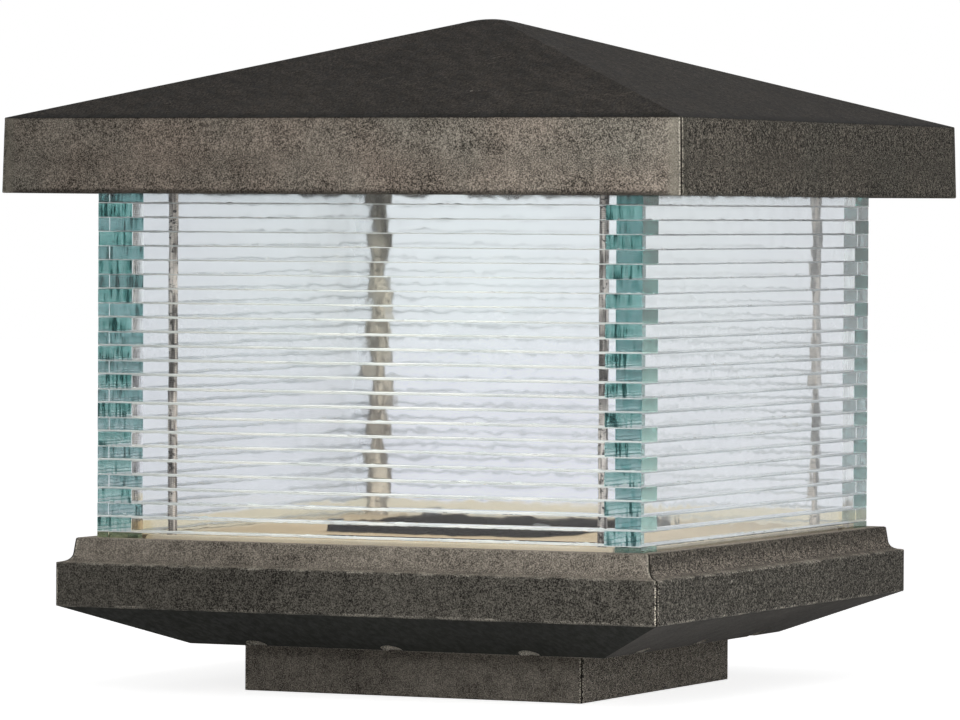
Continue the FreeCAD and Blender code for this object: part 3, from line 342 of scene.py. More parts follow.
def roof_tones(shader, place, facing):
    """Dark slopes over a paler fascia, and how strong the speckle is on each."""
    slope = shader.between(facing["Z"], 0.55, 0.9)
    grain = shader.between(facing["Z"], 0.55, 0.9, 1.8, 2.2)
    from_corner = shader.math("SUBTRACT", cad_high.x, shader.math("MINIMUM", *shader.off_middle(place)))
    rubbed = shader.between(from_corner, *RUBBED_CORNER, 1.0, 0.0)
    calm = shader.math("SUBTRACT", 1.0, shader.math("MULTIPLY", rubbed, 0.6))
    tone = shader.mix(slope, fascia_tone(shader, place, facing, rubbed), slope_tone(shader, place, facing))
    return tone, shader.math("MULTIPLY", grain, calm)


def slope_tone(shader, place, facing):
    """Dark slopes with streaks and fine scratches, painted shade where they face sideways, and a painted
    shadow line along their foot just above the fascia.
    """
    streaks = shader.noise(1.0, 3.0, 0.55, shader.stretched((50.0, 210.0, 50.0), math.radians(38)))
    dark = shader.ramp(streaks, [(0.32, srgb(46, 43, 39)), (0.68, srgb(69, 64, 59))])
    scratches = shader.noise(1.0, 1.0, 0.5, shader.stretched((55.0, 900.0, 300.0), math.radians(-52)))
    scratches = shader.between(scratches, 0.70, 0.76, 0.0, 0.6)
    dark = shader.mix(scratches, dark, srgb(124, 118, 108))
    # Painted shade: slopes that face sideways are darkened.
    painted_side_shade = shader.between(shader.steepness(facing, "X"), 0.1, 0.25, 0.0, 0.35)
    dark = shader.mix(painted_side_shade, dark, srgb(40, 36, 31))
    # Painted shadow: a dark line along the foot of the slopes, just above the fascia.
    eave_shadow_line = shader.between(place["Z"], EAVE_TOP + 0.5 * MM, EAVE_TOP + 3.0 * MM)
    return shader.mix(eave_shadow_line, srgb(28, 26, 23), dark)


def fascia_tone(shader, place, facing, rubbed):
    """A paler fascia with a dark lower lip and rubbed corners, with painted shade where it faces sideways and
    painted corner lines.
    """
    warm = shader.noise(24.0, 2.0)
    pale = shader.ramp(warm, [(0.35, srgb(117, 112, 103)), (0.65, srgb(125, 115, 105))])
    lip = shader.between(place["Z"], EAVE_LOW + 0.8 * MM, EAVE_LOW + 2.6 * MM)
    pale = shader.mix(lip, srgb(76, 71, 65), pale)
    pale = shader.mix(shader.math("MULTIPLY", rubbed, 0.8), pale, srgb(128, 123, 112))
    # Painted shade: the fascia is darkened where it faces sideways.
    painted_side_light = shader.math("MULTIPLY", shader.steepness(facing, "X"), 0.75)
    pale = shader.mix(painted_side_light, pale, srgb(84, 81, 74))
    return corner_lines(shader, place, facing, pale)


def base_tones(shader, place, facing):
    """A pale cove and rim, a darker band and foot, and a smooth dark taper with pale drilled holes; with
    painted light on the taper where it faces sideways, painted shade towards the top of the cove where it
    faces sideways, pale lines along the band's edges that are partly wear and partly painted highlight, and
    painted corner lines everywhere but on the taper.
    """
    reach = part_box("base_housing")[1].z
    share = shader.math("DIVIDE", place["Z"], reach)
    foot_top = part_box("post_foot")[1].z / reach
    band_low = foot_top + TAPER_HEIGHT / reach
    band_top = band_low + BAND_HEIGHT / reach
    levels = (0.0, foot_top, band_low - 0.01, band_top)
    tones = (srgb(127, 121, 112), srgb(21, 22, 18), srgb(81, 78, 72), srgb(131, 124, 114))
    tone = shader.ramp(share, list(zip(levels, tones)), "CONSTANT")
    grain = shader.ramp(share, list(zip(levels, (1.6, 0.5, 2.0, 1.5))), "CONSTANT")
    above_foot = shader.between(share, foot_top, foot_top + 0.01)
    below_band = shader.between(share, band_low - 0.02, band_low - 0.01, 1.0, 0.0)
    in_taper = shader.math("MULTIPLY", above_foot, below_band)
    # Painted light: the taper is lightened where it faces sideways.
    painted_side_light = shader.between(shader.steepness(facing, "X"), 0.1, 0.25)
    tone = shader.mix(shader.math("MULTIPLY", in_taper, painted_side_light), tone, srgb(58, 55, 51))
    # Painted shade: the cove darkens towards its top where it faces sideways.
    in_cove = shader.math("MULTIPLY", shader.between(share, band_top, band_top + 0.01), painted_side_light)
    up_cove = shader.between(share, band_top, 1.0)
    shaded = shader.ramp(up_cove, [(0.1, srgb(122, 115, 106)), (0.8, srgb(74, 70, 64))])
    tone = shader.mix(shader.math("MULTIPLY", in_cove, 0.75), tone, shaded)
    level = shader.between(shader.steepness(facing, "Z"), 0.3, 0.5, 1.0, 0.0)
    tone = shader.mix(shader.math("MULTIPLY", in_taper, level), tone, srgb(196, 190, 178))
    # Pale lines along the band's top and bottom edges: partly wear, partly a painted highlight.
    for brink, strength in ((band_top, 0.55), (band_low, 0.4)):
        off_brink = shader.math("ABSOLUTE", shader.math("SUBTRACT", share, brink))
        highlight_and_wear = shader.between(off_brink, 0.004, 0.013, strength, 0.0)
        highlight_and_wear = shader.math("MULTIPLY", highlight_and_wear, shader.between(shader.noise(90.0, 3.0), 0.38, 0.6))
        tone = shader.mix(highlight_and_wear, tone, srgb(166, 160, 148))
    # Painted highlight and shade lines down the upright corners, everywhere but on the taper.
    tone = shader.mix(in_taper, corner_lines(shader, place, facing, tone), tone)
    return tone, grain


def clear_glass(name):
    """Clear lamp glass."""
    shader = Shader(name)
    return shader.finish(
        Base_Color=shader.ramp(shader.noise(40.0), [(0.3, srgb(244, 244, 242)), (0.7, srgb(252, 252, 250))]),
        Roughness=0.0,
        IOR=1.5,
        Transmission_Weight=1.0,
    )


def strip_glass(name):
    """Cut sheet glass with a faint haze, teal through its depth, with broken ends."""
    shader = Shader(name)
    absorption = shader.add("VolumeAbsorption", Color=GLASS_TINT, Density=GLASS_DENSITY)
    shader.tree.links.new(absorption.outputs[0], shader.output.inputs["Volume"])
    cut = shader.add("Attribute", {"attribute_name": "cut"}).outputs["Fac"]
    place = shader.split(shader.place)
    facing = shader.split(shader.facing)
    marks = break_marks(shader)
    face_colour = glass_face_colour(shader, place, facing)
    end_colour = glass_end_colour(shader, place, facing, marks)
    return shader.finish(
        Base_Color=shader.mix(cut, face_colour, end_colour),
        Roughness=0.05,
        IOR=1.52,
        Specular_Tint=GLASS_MIRROR,
        Transmission_Weight=GLASS_CLARITY,
        Normal=shader.bump(glass_relief(shader, place, cut, marks), 0.3 * MM, 0.35),
    )


def break_marks(shader):
    """Upright marks, in clusters, as a broken edge has."""
    marks = shader.noise(1.0, 3.0, 0.65, shader.stretched((760.0, 760.0, 55.0)))
    cluster = shader.noise(1.0, 2.0, 0.5, shader.stretched((150.0, 150.0, 110.0)))
    return shader.math("ADD", shader.math("MULTIPLY", marks, 0.6), shader.math("MULTIPLY", cluster, 0.4))


def glass_face_colour(shader, place, facing):
    """Nearly clear faces, with a painted highlight high up in the middle of the front and back walls, a
    painted shadow and reflection of the roof under the eaves on the sideways walls, painted shade on the
    sideways walls, and a painted reflection of the pan low on the far walls.
    """
    cloud = shader.noise(1.0, 4.0, 0.6, shader.stretched((34.0, 34.0, 150.0)))
    colour = shader.ramp(cloud, [(0.34, srgb(243, 240, 245)), (0.66, srgb(252, 249, 253))])
    # Painted highlight: the front and back walls brightened high up in the middle.
    central = shader.between(shader.math("MINIMUM", *shader.off_middle(place)), *GLOW_OFF_MIDDLE, 1.0, 0.3)
    painted_glow = shader.math("MULTIPLY", central, shader.between(place["Z"], *GLOW_HEIGHT))
    painted_glow = shader.math("MULTIPLY", painted_glow, shader.steepness(facing, "Y"))
    colour = shader.mix(painted_glow, colour, srgb(254, 254, 255))

    painted_side_light = shader.steepness(facing, "X")
    # Painted shadow and reflection of the roof's underside, on the sideways walls just under the eaves.
    eave_shade = shader.math("MULTIPLY", painted_side_light, shader.between(place["Z"], *UNDER_EAVE, 0.0, 0.55))
    colour = shader.mix(eave_shade, colour, srgb(132, 150, 162))
    # Painted shade: the sideways walls slightly darkened.
    colour = shader.mix(shader.math("MULTIPLY", painted_side_light, 0.7), colour, srgb(238, 235, 237))

    near, far = FAR_WALL
    far_left = shader.between(place["X"], -far, -near, 1.0, 0.0)
    far_back = shader.between(place["Y"], near, far)
    # Painted reflection of the pan, low on the far left and far back walls.
    wavy = shader.math("MULTIPLY_ADD", cloud, PAN_REFLECTION_WAVE, place["Z"])
    pan_reflection = shader.between(wavy, *PAN_REFLECTION_TOP, 1.0, 0.0)
    pan_reflection = shader.math("MULTIPLY", shader.math("MAXIMUM", far_left, far_back), pan_reflection)
    return shader.mix(pan_reflection, colour, srgb(234, 220, 194))


def glass_end_colour(shader, place, facing, marks):
    """Marked ends: plainer where they face sideways, and deeper inside the near corner."""
    cuts = [(0.42, srgb(30, 60, 60)), (0.46, srgb(158, 204, 200)), (0.53, srgb(254, 255, 255))]
    colour = shader.ramp(marks, cuts)
    outermost = shader.between(shader.math("ABSOLUTE", place["X"]), *OUTER_END)
    side_colour = shader.mix(outermost, srgb(222, 241, 238), srgb(158, 200, 192))
    plain = shader.between(outermost, 0.0, 1.0, 0.45, 0.85)
    colour = shader.mix(shader.math("MULTIPLY", shader.steepness(facing, "X"), plain), colour, side_colour)

    out = [shader.math("MULTIPLY", place[axis], facing[axis]) for axis in "XY"]
    out = shader.math("ABSOLUTE", shader.math("ADD", *out))
    at_near_corner = shader.math(
        "MULTIPLY",
        shader.math("GREATER_THAN", place["X"], 0.0),
        shader.math("LESS_THAN", place["Y"], 0.0),
    )
    buried = shader.math("MULTIPLY", shader.between(out, *BURIED_END, 0.6, 0.0), at_near_corner)
    return shader.mix(buried, colour, srgb(40, 160, 152))


def glass_relief(shader, place, cut, marks):
    """Heights for the bump: the ends' marks, chatter along the faces' rims, and a soft ripple."""
    layer_share = shader.math("DIVIDE", shader.math("SUBTRACT", place["Z"], GLASS_FOOT), STRIP_PITCH)
    from_joint = shader.math("SUBTRACT", shader.math("FRACT", layer_share), 0.5)
    rough_rim = shader.between(shader.math("ABSOLUTE", from_joint), 0.38, 0.5)
    rough_rim = shader.math("MULTIPLY", rough_rim, shader.between(place["Z"], *CHATTER_HEIGHT, 1.0, 0.2))
    on_face = shader.math("MULTIPLY", rough_rim, shader.math("SUBTRACT", 1.0, cut))
    chatter = shader.noise(1.0, 3.0, 0.6, shader.stretched((330.0, 330.0, 90.0)))
    chatter = shader.math("MULTIPLY", chatter, on_face)
    relief = shader.math("ADD", shader.math("MULTIPLY", marks, cut), shader.math("MULTIPLY", chatter, 1.1))
    return shader.math("MULTIPLY_ADD", shader.noise(75.0, 2.0), 0.9, relief)


def ground_edge(name, dull, bright):
    """The pale ground edge of a strip, or its bond line, with a fine ripple."""
    shader = Shader(name)
    grain = shader.noise(620.0, 3.0, 0.7)
    tone = shader.noise(1.0, 2.0, 0.5, shader.stretched((45.0, 45.0, 45.0)))
    return shader.finish(
        Base_Color=shader.ramp(tone, [(0.35, dull), (0.6, bright)]),
        Roughness=shader.between(grain, 0.3, 0.7, 0.45, 0.7),
        Normal=shader.bump(grain, 0.3 * MM, 0.5),
    )


def paint(name, light, dark, roughness, grain=260.0, wear=None, specular=0.35):
    """Sprayed paint with slight orange peel and soft stains, and scuffed to the wear colour if given."""
    shader = Shader(name)
    stain = shader.noise(38.0, 4.0, 0.6)
    colour = shader.ramp(stain, [(0.3, dark), (0.65, light)])
    if wear:
        scuffs = shader.between(shader.noise(900.0, 4.0, 0.7), 0.62, 0.72)
        colour = shader.mix(shader.math("MULTIPLY", scuffs, 0.35), colour, wear)
    peel = shader.noise(grain, 2.0)
    return shader.finish(
        Base_Color=colour,
        Roughness=shader.between(stain, 0.3, 0.7, roughness - 0.06, roughness + 0.06),
        Specular_IOR_Level=specular,
        Normal=shader.bump(peel, 0.06 * MM, 0.5),
    )


def pan_paint(name):
    """Cream paint on the floor pan, tan in the middle and paler near the glass, where the paler cream is
    painted light.
    """
    shader = Shader(name)
    from_middle = shader.math("MAXIMUM", *shader.off_middle(shader.split(shader.place)))
    stain = shader.noise(38.0, 4.0, 0.6)
    tan = shader.ramp(stain, [(0.3, srgb(204, 183, 148)), (0.65, srgb(226, 207, 174))])
    # Painted light: the paler cream near the glass.
    painted_light_cream = shader.ramp(stain, [(0.3, srgb(238, 224, 196)), (0.65, srgb(253, 241, 218))])
    peel = shader.noise(260.0, 2.0)
    return shader.finish(
        Base_Color=shader.mix(shader.between(from_middle, *PAN_PAINTED_LIGHT_EDGE), tan, painted_light_cream),
        Roughness=shader.between(stain, 0.3, 0.7, 0.54, 0.66),
        Specular_IOR_Level=0.05,
        Normal=shader.bump(peel, 0.06 * MM, 0.5),
    )


def metal(name, light, dark, roughness):
    """Plated or plain metal with fine drawing marks and patches."""
    shader = Shader(name)
    marks = shader.noise(1.0, 3.0, 0.6, shader.stretched((400.0, 400.0, 60.0)))
    patches = shader.noise(120.0, 4.0, 0.65)
    blend = shader.math("ADD", shader.math("MULTIPLY", marks, 0.45), shader.math("MULTIPLY", patches, 0.55))
    return shader.finish(
        Base_Color=shader.ramp(blend, [(0.34, dark), (0.62, light)]),
        Metallic=1.0,
        Roughness=shader.between(blend, 0.3, 0.7, roughness + 0.12, roughness - 0.06),
        Normal=shader.bump(marks, 0.05 * MM, 0.4),
    )


def old_zinc(name, light, dark, spots, darker_top=0.0):
    """Dull zinc that has weathered in patches, with dark spots in its threads, pale upright streaks that are
    partly painted highlights, and darker towards the top by a given share.
    """
    shader = Shader(name)
    height = shader.split(shader.place)["Z"]
    patches = shader.noise(1.0, 3.0, 0.6, shader.stretched((120.0, 120.0, 34.0)))
    # Upright streaks: partly grain, partly painted highlights.
    streaks = shader.noise(1.0, 3.0, 0.65, shader.stretched((650.0, 650.0, 40.0)))
    blend = shader.math("ADD", shader.math("MULTIPLY", patches, 0.4), shader.math("MULTIPLY", streaks, 0.6))
    colour = shader.ramp(blend, [(0.44, dark), (0.56, light)])
    colour = shader.mix(shader.between(shader.noise(480.0, 3.0, 0.7), 0.56, 0.64), colour, spots)
    # Darker towards the top.
    colour = shader.mix(shader.between(height, *DARKER_TOP_HEIGHT, 0.0, darker_top), colour, srgb(72, 70, 67))
    return shader.finish(
        Base_Color=colour,
        Metallic=0.25,
        Roughness=shader.between(blend, 0.3, 0.7, 0.62, 0.48),
        Normal=shader.bump(streaks, 0.05 * MM, 0.5),
    )


def moulded(name, light, dark, roughness, specular=0.4):
    """Moulded plastic or rubber with a faint grain."""
    shader = Shader(name)
    tone = shader.noise(60.0, 3.0, 0.6)
    grain = shader.noise(1400.0, 2.0, 0.6)
    return shader.finish(
        Base_Color=shader.ramp(tone, [(0.3, dark), (0.7, light)]),
        Roughness=shader.between(grain, 0.3, 0.7, roughness - 0.05, roughness + 0.08),
        Specular_IOR_Level=specular,
        Normal=shader.bump(grain, 0.05 * MM, 0.35),
    )


def filament_wire(name):
    """The filament's wire and stem, pale and warm."""
    shader = Shader(name)
    return shader.finish(
        Base_Color=shader.ramp(shader.noise(300.0), [(0.3, srgb(176, 160, 120)), (0.7, srgb(214, 204, 180))]),
        Roughness=0.35,
        Metallic=0.3,
    )


materials = {
    "roof_resin": resin("roof_resin", roof_tones),
    "base_resin": resin("base_resin", base_tones),
    "strip_glass": strip_glass("strip_glass"),
    "ground_edge": ground_edge("ground_edge", srgb(226, 230, 230), srgb(246, 247, 245)),
    "bond_line": ground_edge("bond_line", srgb(204, 210, 215), srgb(220, 225, 229)),
    "lamp_glass": clear_glass("lamp_glass"),
    "floor_paint": pan_paint("floor_paint"),
    "dark_plate": paint(
        "dark_plate", srgb(50, 46, 42), srgb(36, 33, 30), 0.85, specular=0.08, wear=srgb(120, 112, 102)
    ),
    "white_enamel": paint("white_enamel", srgb(240, 240, 236), srgb(228, 228, 223), 0.3, 180.0),
    "zinc_steel": metal("zinc_steel", srgb(196, 196, 192), srgb(140, 140, 138), 0.34),
    "rod_zinc": old_zinc("rod_zinc", srgb(244, 235, 226), srgb(74, 68, 62), srgb(42, 38, 35)),
    # The pipe's pale warm tone is partly painted lamp light.
    "pipe_zinc": old_zinc("pipe_zinc", srgb(252, 245, 230), srgb(140, 134, 125), srgb(78, 74, 69), darker_top=0.52),
    "brass": metal("brass", srgb(214, 184, 120), srgb(168, 136, 76), 0.3),
    # The gasket's pale cream is partly painted light, which brightens the lowest glass row.
    "gasket": moulded("gasket", srgb(226, 220, 202), srgb(206, 201, 184), 0.7, 0.25),
    "black_plastic": moulded("black_plastic", srgb(42, 39, 35), srgb(30, 28, 25), 0.7, 0.0),
    "filament": filament_wire("filament"),
    "black_insulation": moulded("black_insulation", srgb(40, 40, 40), srgb(28, 28, 28), 0.45),
    "white_insulation": moulded("white_insulation", srgb(232, 231, 226), srgb(218, 217, 210), 0.45),
    "green_insulation": moulded("green_insulation", srgb(60, 130, 74), srgb(44, 108, 58), 0.45),
    "connector_plastic": moulded("connector_plastic", srgb(232, 132, 52), srgb(214, 112, 36), 0.35, 0.5),
}
RESIN_BY_NODE = {"roof_cap": "roof_resin", "base_housing": "base_resin", "post_foot": "base_resin"}


def dress_nodes():
    """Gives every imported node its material."""
    for part in frame["record"]["subparts"]:
        name = RESIN_BY_NODE.get(part["node"], part["material_slot"])
        if name not in materials:
            continue
        data = nodes[part["node"]].data
        data.materials.clear()
        data.materials.append(materials[name])


FACE, BOND, EDGE, END = range(4)


def waves(random_source, length_range, slope):
    """A sum of two gentle sine waves, as a function of a place along a strip."""
    terms = []
    for _ in range(2):
        length = random_source.uniform(*length_range)
        height = slope * length / math.tau * random_source.uniform(0.5, 1.0)
        terms.append((math.tau / length, height, random_source.uniform(0, math.tau)))
    return lambda place: sum(height * math.sin(rate * place + shift) for rate, height, shift in terms)


def section(half_width, half_height, upper_arris, lower_arris):
    """Corner points of a strip's section, round the four ground edges, as (out, up)."""
    points = []
    for sign_out, sign_up, start in ((1, 1, 0), (-1, 1, 90), (-1, -1, 180), (1, -1, 270)):
        arris = upper_arris if sign_up > 0 else lower_arris
        centre_out = sign_out * (half_width - arris)
        centre_up = sign_up * (half_height - arris)
        for step in range(ARRIS_STEPS + 1):
            turn = math.radians(start + 90 * step / ARRIS_STEPS)
            points.append((centre_out + arris * math.cos(turn), centre_up + arris * math.sin(turn)))
    return points


def strip(random_source, half_length, edge_scale):
    """Vertices and faces of one strip along X, with the kind of each face."""
    half_width = STRIP_WIDTH / 2
    half_height = (STRIP_PITCH - BOND_LINE) / 2
    sides = [
        (waves(random_source, LONG_WAVE, LONG_WAVE_SLOPE), waves(random_source, SHORT_WAVE, SHORT_WAVE_SLOPE))
        for _ in range(2)
    ]
    seed = Vector((random_source.uniform(0, 100), random_source.uniform(0, 100), 0))
    count = max(2, round(2 * half_length / STATION))
    vertices = []
    per_section = 4 * (ARRIS_STEPS + 1)
    for station in range(count + 1):
        along = -half_length + 2 * half_length * station / count
        ripple = noise.noise(seed + Vector((along / RIPPLE_LENGTH, 0, 0)))
        chip = max(0.0, noise.noise(seed + Vector((along / CHIP_LENGTH, 7, 0))) - CHIP_FROM)
        upper_arris = edge_scale * UPPER_ARRIS * (1.0 + UPPER_RIPPLE * ripple)
        lower_arris = LOWER_ARRIS * (edge_scale * (1.0 + LOWER_RIPPLE * ripple) + CHIP_GROWTH * chip)
        for out, up in section(half_width, half_height, upper_arris, lower_arris):
            long_wave, short_wave = sides[out > 0]
            inset = min(0.0, long_wave(along) + short_wave(along) - WAVE_INSET)
            vertices.append((along, out + inset * (1 if out > 0 else -1), up))
    faces = []
    kinds = []
    for station in range(count):
        for k in range(per_section):
            ahead = (k + 1) % per_section
            first = station * per_section
            second = first + per_section
            faces.append((first + k, first + ahead, second + ahead, second + k))
            corner, step = divmod(k, ARRIS_STEPS + 1)
            if step < ARRIS_STEPS:
                kinds.append(EDGE)
            else:
                kinds.append(BOND if corner % 2 == 0 else FACE)
    last = count * per_section
    faces.append(tuple(range(per_section - 1, -1, -1)))
    faces.append(tuple(range(last, last + per_section)))
    kinds += [END, END]
    return vertices, faces, kinds


def mesh_object(name, vertices, faces, skin_numbers, skins, sharp_angle):
    """A mesh object with smooth faces and edges kept sharp past an angle."""
    data = bpy.data.meshes.new(name)
    data.from_pydata(vertices, [], faces)
    for skin in skins:
        data.materials.append(materials[skin])
    data.polygons.foreach_set("material_index", skin_numbers)
    data.shade_smooth()
    data.set_sharp_from_angle(angle=sharp_angle)
    data.validate()
    made = bpy.data.objects.new(name, data)
    bpy.context.scene.collection.objects.link(made)
    return made


def glass_wall(name, wall_number, turn, long_first, edge_scale, bond_skin):
    """One wall of laid strips in place of its node. Turn heads the strips' length."""
    low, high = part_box(name)
    half = max(high.x - low.x, high.y - low.y) / 2
    layers = round((high.z - low.z + BOND_LINE) / STRIP_PITCH)
    across = half - STRIP_WIDTH / 2
    spin = Matrix.Rotation(turn, 4, "Z")
    vertices, faces, kinds = [], [], []
    for layer in range(layers):
        random_source = random.Random(1000 * wall_number + layer)
        is_long = (layer % 2 == 0) == long_first
        half_length = half if is_long else half - STRIP_WIDTH - BOND_LINE
        fineness = TOP_EDGE_SCALE if layers - layer <= TOP_ROWS else 1.0
        points, quads, marks = strip(random_source, half_length, fineness * edge_scale)
        middle = low.z + (STRIP_PITCH - BOND_LINE) / 2 + layer * STRIP_PITCH
        first = len(vertices)
        vertices += [spin @ Vector((x, y - across, z + middle)) for x, y, z in points]
        faces += [tuple(first + k for k in face) for face in quads]
        kinds += marks
    skin_by_kind = {FACE: 0, END: 0, EDGE: 1, BOND: 2}
    skin_numbers = [skin_by_kind[kind] for kind in kinds]
    skins = ("strip_glass", "ground_edge", bond_skin)
    wall = mesh_object(name + "_strips", vertices, faces, skin_numbers, skins, math.radians(20))
    cut = wall.data.attributes.new("cut", "FLOAT", "FACE")
    cut.data.foreach_set("value", [1.0 if kind == END else 0.0 for kind in kinds])
    wall.visible_shadow = False
    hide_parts(name)
    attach(wall, "lantern")


def thread(vertices, faces, place, radius, low, high, pitch, depth, bore=0.0):
    """Adds an upright threaded bar, or a tube if a bore is given, to the lists."""
    segments = THREAD_SEGMENTS
    rows = round((high - low) / pitch * ROWS_PER_TURN)
    first = len(vertices)
    for row in range(rows + 1):
        z = low + (high - low) * row / rows
        for k in range(segments):
            turn = math.tau * k / segments
            share = (z / pitch - k / segments) % 1.0
            ridge = abs(2 * share - 1)
            out = radius - depth * min(1.0, max(0.0, FLANK_STEEPNESS * ridge - CREST_FLAT))
            vertices.append((place[0] + out * math.cos(turn), place[1] + out * math.sin(turn), z))
    for row in range(rows):
        for k in range(segments):
            ahead = (k + 1) % segments
            a = first + row * segments
            faces.append((a + k, a + ahead, a + segments + ahead, a + segments + k))
    top = first + rows * segments
    if not bore:
        faces.append(tuple(first + k for k in range(segments - 1, -1, -1)))
        faces.append(tuple(top + k for k in range(segments)))
        return
    inner = len(vertices)
    for z in (low, high):
        for k in range(segments):
            turn = math.tau * k / segments
            vertices.append((place[0] + bore * math.cos(turn), place[1] + bore * math.sin(turn), z))
    for k in range(segments):
        ahead = (k + 1) % segments
        faces.append((inner + ahead, inner + k, inner + segments + k, inner + segments + ahead))
        faces.append((first + ahead, first + k, inner + k, inner + ahead))
        faces.append((top + k, top + ahead, inner + segments + ahead, inner + segments + k))


def threaded_piece(name, node, places, radius, pitch, depth, skin, bore=0.0):
    """Threaded bars or a tube in place of a plain node."""
    low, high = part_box(node)
    vertices, faces = [], []
    for place in places:
        thread(vertices, faces, place, radius, low.z, high.z, pitch, depth, bore)
    piece = mesh_object(name, vertices, faces, [0] * len(faces), (skin,), math.radians(50))
    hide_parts(node)
    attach(piece, "lantern")


def rods_and_pipe():
    """The threaded tie rods in three corners and the threaded lamp pipe in the fourth."""
    low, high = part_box("tie_rods")
    pipe_low, pipe_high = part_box("lamp_pipe")
    pipe_radius = (pipe_high.x - pipe_low.x) / 2
    pipe_place = ((pipe_low.x + pipe_high.x) / 2, (pipe_low.y + pipe_high.y) / 2)
    reach = -pipe_place[0]
    rod_radius = high.x - reach
    places = [(-reach, -reach), (reach, -reach), (reach, reach)]
    threaded_piece(
        "threaded_rods", "tie_rods", places, rod_radius, ROD_THREAD_PITCH, ROD_THREAD_DEPTH, "rod_zinc"
    )
    threaded_piece(
        "threaded_pipe",
        "lamp_pipe",
        [pipe_place],
        pipe_radius,
        PIPE_THREAD_PITCH,
        PIPE_THREAD_DEPTH,
        "pipe_zinc",
        PIPE_BORE_RADIUS,
    )


def camera():
    """The camera at the photograph's view."""
    turn = CAMERA_AZIMUTH + CAMERA_TURN
    right = Vector((math.cos(turn), math.sin(turn), 0))
    level = Vector((-math.sin(turn), math.cos(turn), 0))
    up = Vector((0, 0, 1))
    ahead = level * math.cos(CAMERA_PITCH) + up * math.sin(CAMERA_PITCH)
    above = up * math.cos(CAMERA_PITCH) - level * math.sin(CAMERA_PITCH)
    across = right * math.cos(CAMERA_ROLL) + above * math.sin(CAMERA_ROLL)
    above = above * math.cos(CAMERA_ROLL) - right * math.sin(CAMERA_ROLL)
    data = bpy.data.cameras.new("camera")
    data.sensor_width = SENSOR
    data.lens = FOCAL_PIXELS / PHOTO_WIDTH * SENSOR
    made = bpy.data.objects.new("camera", data)
    bpy.context.scene.collection.objects.link(made)
    rotation = Matrix((across, above, -ahead)).transposed().to_4x4()
    place = Vector(
        (
            CAMERA_DISTANCE * math.sin(CAMERA_AZIMUTH),
            -CAMERA_DISTANCE * math.cos(CAMERA_AZIMUTH),
            CAMERA_HEIGHT,
        )
    )
    made.matrix_world = Matrix.Translation(place) @ rotation
    bpy.context.scene.camera = made


def white_to_sight(tree):
    """A socket that is 1 for rays that see the background: camera, mirror and glass rays."""
    path = tree.nodes.new("ShaderNodeLightPath")
    total = None
    for name in ("Is Camera Ray", "Is Glossy Ray", "Is Transmission Ray"):
        if total is None:
            total = path.outputs[name]
            continue
        both = tree.nodes.new("ShaderNodeMath")
        both.operation = "MAXIMUM"
        tree.links.new(total, both.inputs[0])
        tree.links.new(path.outputs[name], both.inputs[1])
        total = both.outputs[0]
    return total


def studio_world():
    """Surroundings that are white to sight, and light the object at a plain level."""
    world = bpy.data.worlds.new("studio")
    bpy.context.scene.world = world
    world.use_nodes = True
    tree = world.node_tree
    tree.nodes.clear()
    light = tree.nodes.new("ShaderNodeBackground")
    light.inputs["Color"].default_value = (1.0, 1.0, 1.0, 1.0)
    light.inputs["Strength"].default_value = SKY_LIGHT
    sight = tree.nodes.new("ShaderNodeBackground")
    sight.inputs["Color"].default_value = (1.0, 1.0, 1.0, 1.0)
    sight.inputs["Strength"].default_value = 1.0
    blend = tree.nodes.new("ShaderNodeMixShader")
    output = tree.nodes.new("ShaderNodeOutputWorld")
    tree.links.new(white_to_sight(tree), blend.inputs[0])
    tree.links.new(light.outputs[0], blend.inputs[1])
    tree.links.new(sight.outputs[0], blend.inputs[2])
    tree.links.new(blend.outputs[0], output.inputs["Surface"])


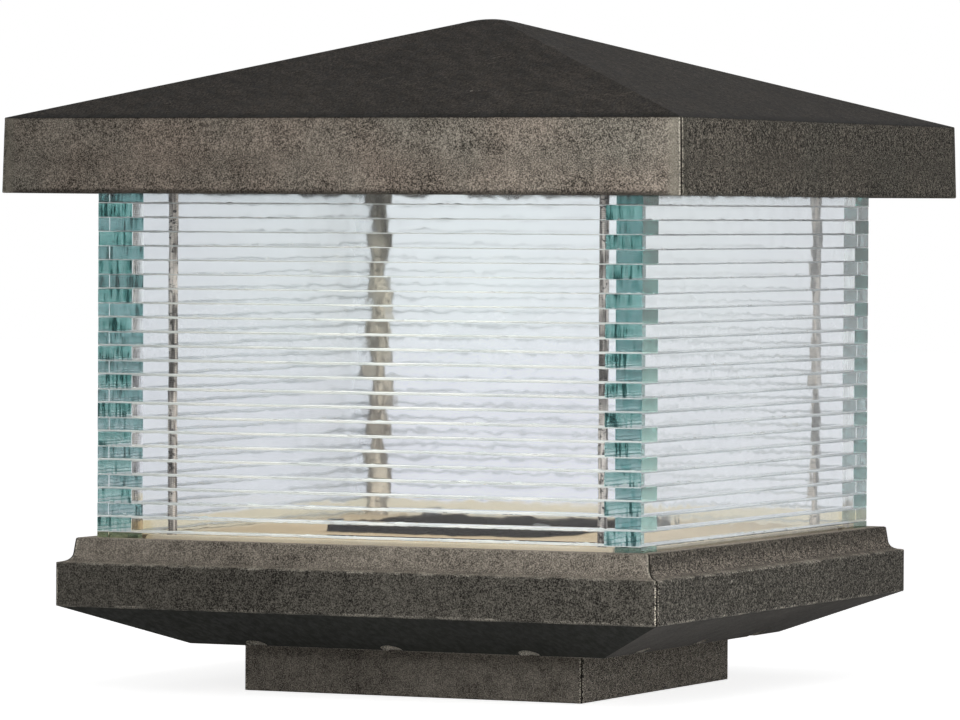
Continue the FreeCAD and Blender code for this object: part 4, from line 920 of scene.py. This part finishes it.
def studio_floor():
    """A pale floor that keeps the object's shadow."""
    material = bpy.data.materials.new("studio_floor")
    material.use_nodes = True
    tree = material.node_tree
    tree.nodes.clear()
    diffuse = tree.nodes.new("ShaderNodeBsdfDiffuse")
    diffuse.inputs["Color"].default_value = srgb(FLOOR_GREY, FLOOR_GREY, FLOOR_GREY)
    lift = tree.nodes.new("ShaderNodeEmission")
    scaled = tree.nodes.new("ShaderNodeMath")
    scaled.operation = "MULTIPLY"
    scaled.inputs[1].default_value = FLOOR_LIFT
    tree.links.new(white_to_sight(tree), scaled.inputs[0])
    tree.links.new(scaled.outputs[0], lift.inputs["Strength"])
    both = tree.nodes.new("ShaderNodeAddShader")
    tree.links.new(diffuse.outputs[0], both.inputs[0])
    tree.links.new(lift.outputs[0], both.inputs[1])
    output = tree.nodes.new("ShaderNodeOutputMaterial")
    tree.links.new(both.outputs[0], output.inputs["Surface"])
    data = bpy.data.meshes.new("studio_floor")
    corners = [(x * FLOOR_HALF, y * FLOOR_HALF, 0) for x, y in ((-1, -1), (1, -1), (1, 1), (-1, 1))]
    data.from_pydata(corners, [], [(0, 1, 2, 3)])
    data.materials.append(material)
    floor = bpy.data.objects.new("studio_floor", data)
    bpy.context.scene.collection.objects.link(floor)
    floor.location.z = -FLOOR_DROP


def studio_lamps():
    """A soft lamp in the lantern, soft lamps around it, and one behind it for the cast resin alone."""
    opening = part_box("top_plate")[0].z - 1.0 * MM
    lamp_light = soft_lamp("lamp_light", (0, 0, opening), (0, 0, 0), 0.15, 0.24)
    lamp_light.visible_transmission = True
    lamp_light.data.color = INNER_LAMP_COLOUR
    for lamp in OUTER_LAMPS:
        soft_lamp(*lamp)
    back_light = soft_lamp(*BACK_LAMP)
    resin_pieces = bpy.data.collections.new("resin_pieces")
    for name in RESIN_BY_NODE:
        resin_pieces.objects.link(nodes[name])
    back_light.light_linking.receiver_collection = resin_pieces


def soft_lamp(name, place, aim, size, power):
    """A square soft lamp that only lights."""
    data = bpy.data.lights.new(name, "AREA")
    data.size = size
    data.energy = power
    lamp = bpy.data.objects.new(name, data)
    bpy.context.scene.collection.objects.link(lamp)
    lamp.location = place
    lamp.rotation_euler = (Vector(aim) - Vector(place)).to_track_quat("-Z", "Y").to_euler()
    lamp.visible_camera = False
    lamp.visible_glossy = False
    lamp.visible_transmission = False
    return lamp


dress_nodes()
glass_wall("front_glass", 1, 0.0, True, 1.0, "ground_edge")
glass_wall("right_glass", 2, math.pi / 2, False, SIDE_EDGE_SCALE, "bond_line")
glass_wall("back_glass", 3, math.pi, True, SIDE_EDGE_SCALE, "bond_line")
glass_wall("left_glass", 4, -math.pi / 2, False, SIDE_EDGE_SCALE, "bond_line")
rods_and_pipe()
camera()
studio_world()
studio_floor()
studio_lamps()

scene = bpy.context.scene
scene.view_settings.view_transform = "Standard"
scene.cycles.max_bounces = 32
scene.cycles.transmission_bounces = 32
scene.cycles.glossy_bounces = 12
scene.cycles.diffuse_bounces = 4
scene.cycles.use_denoising = True
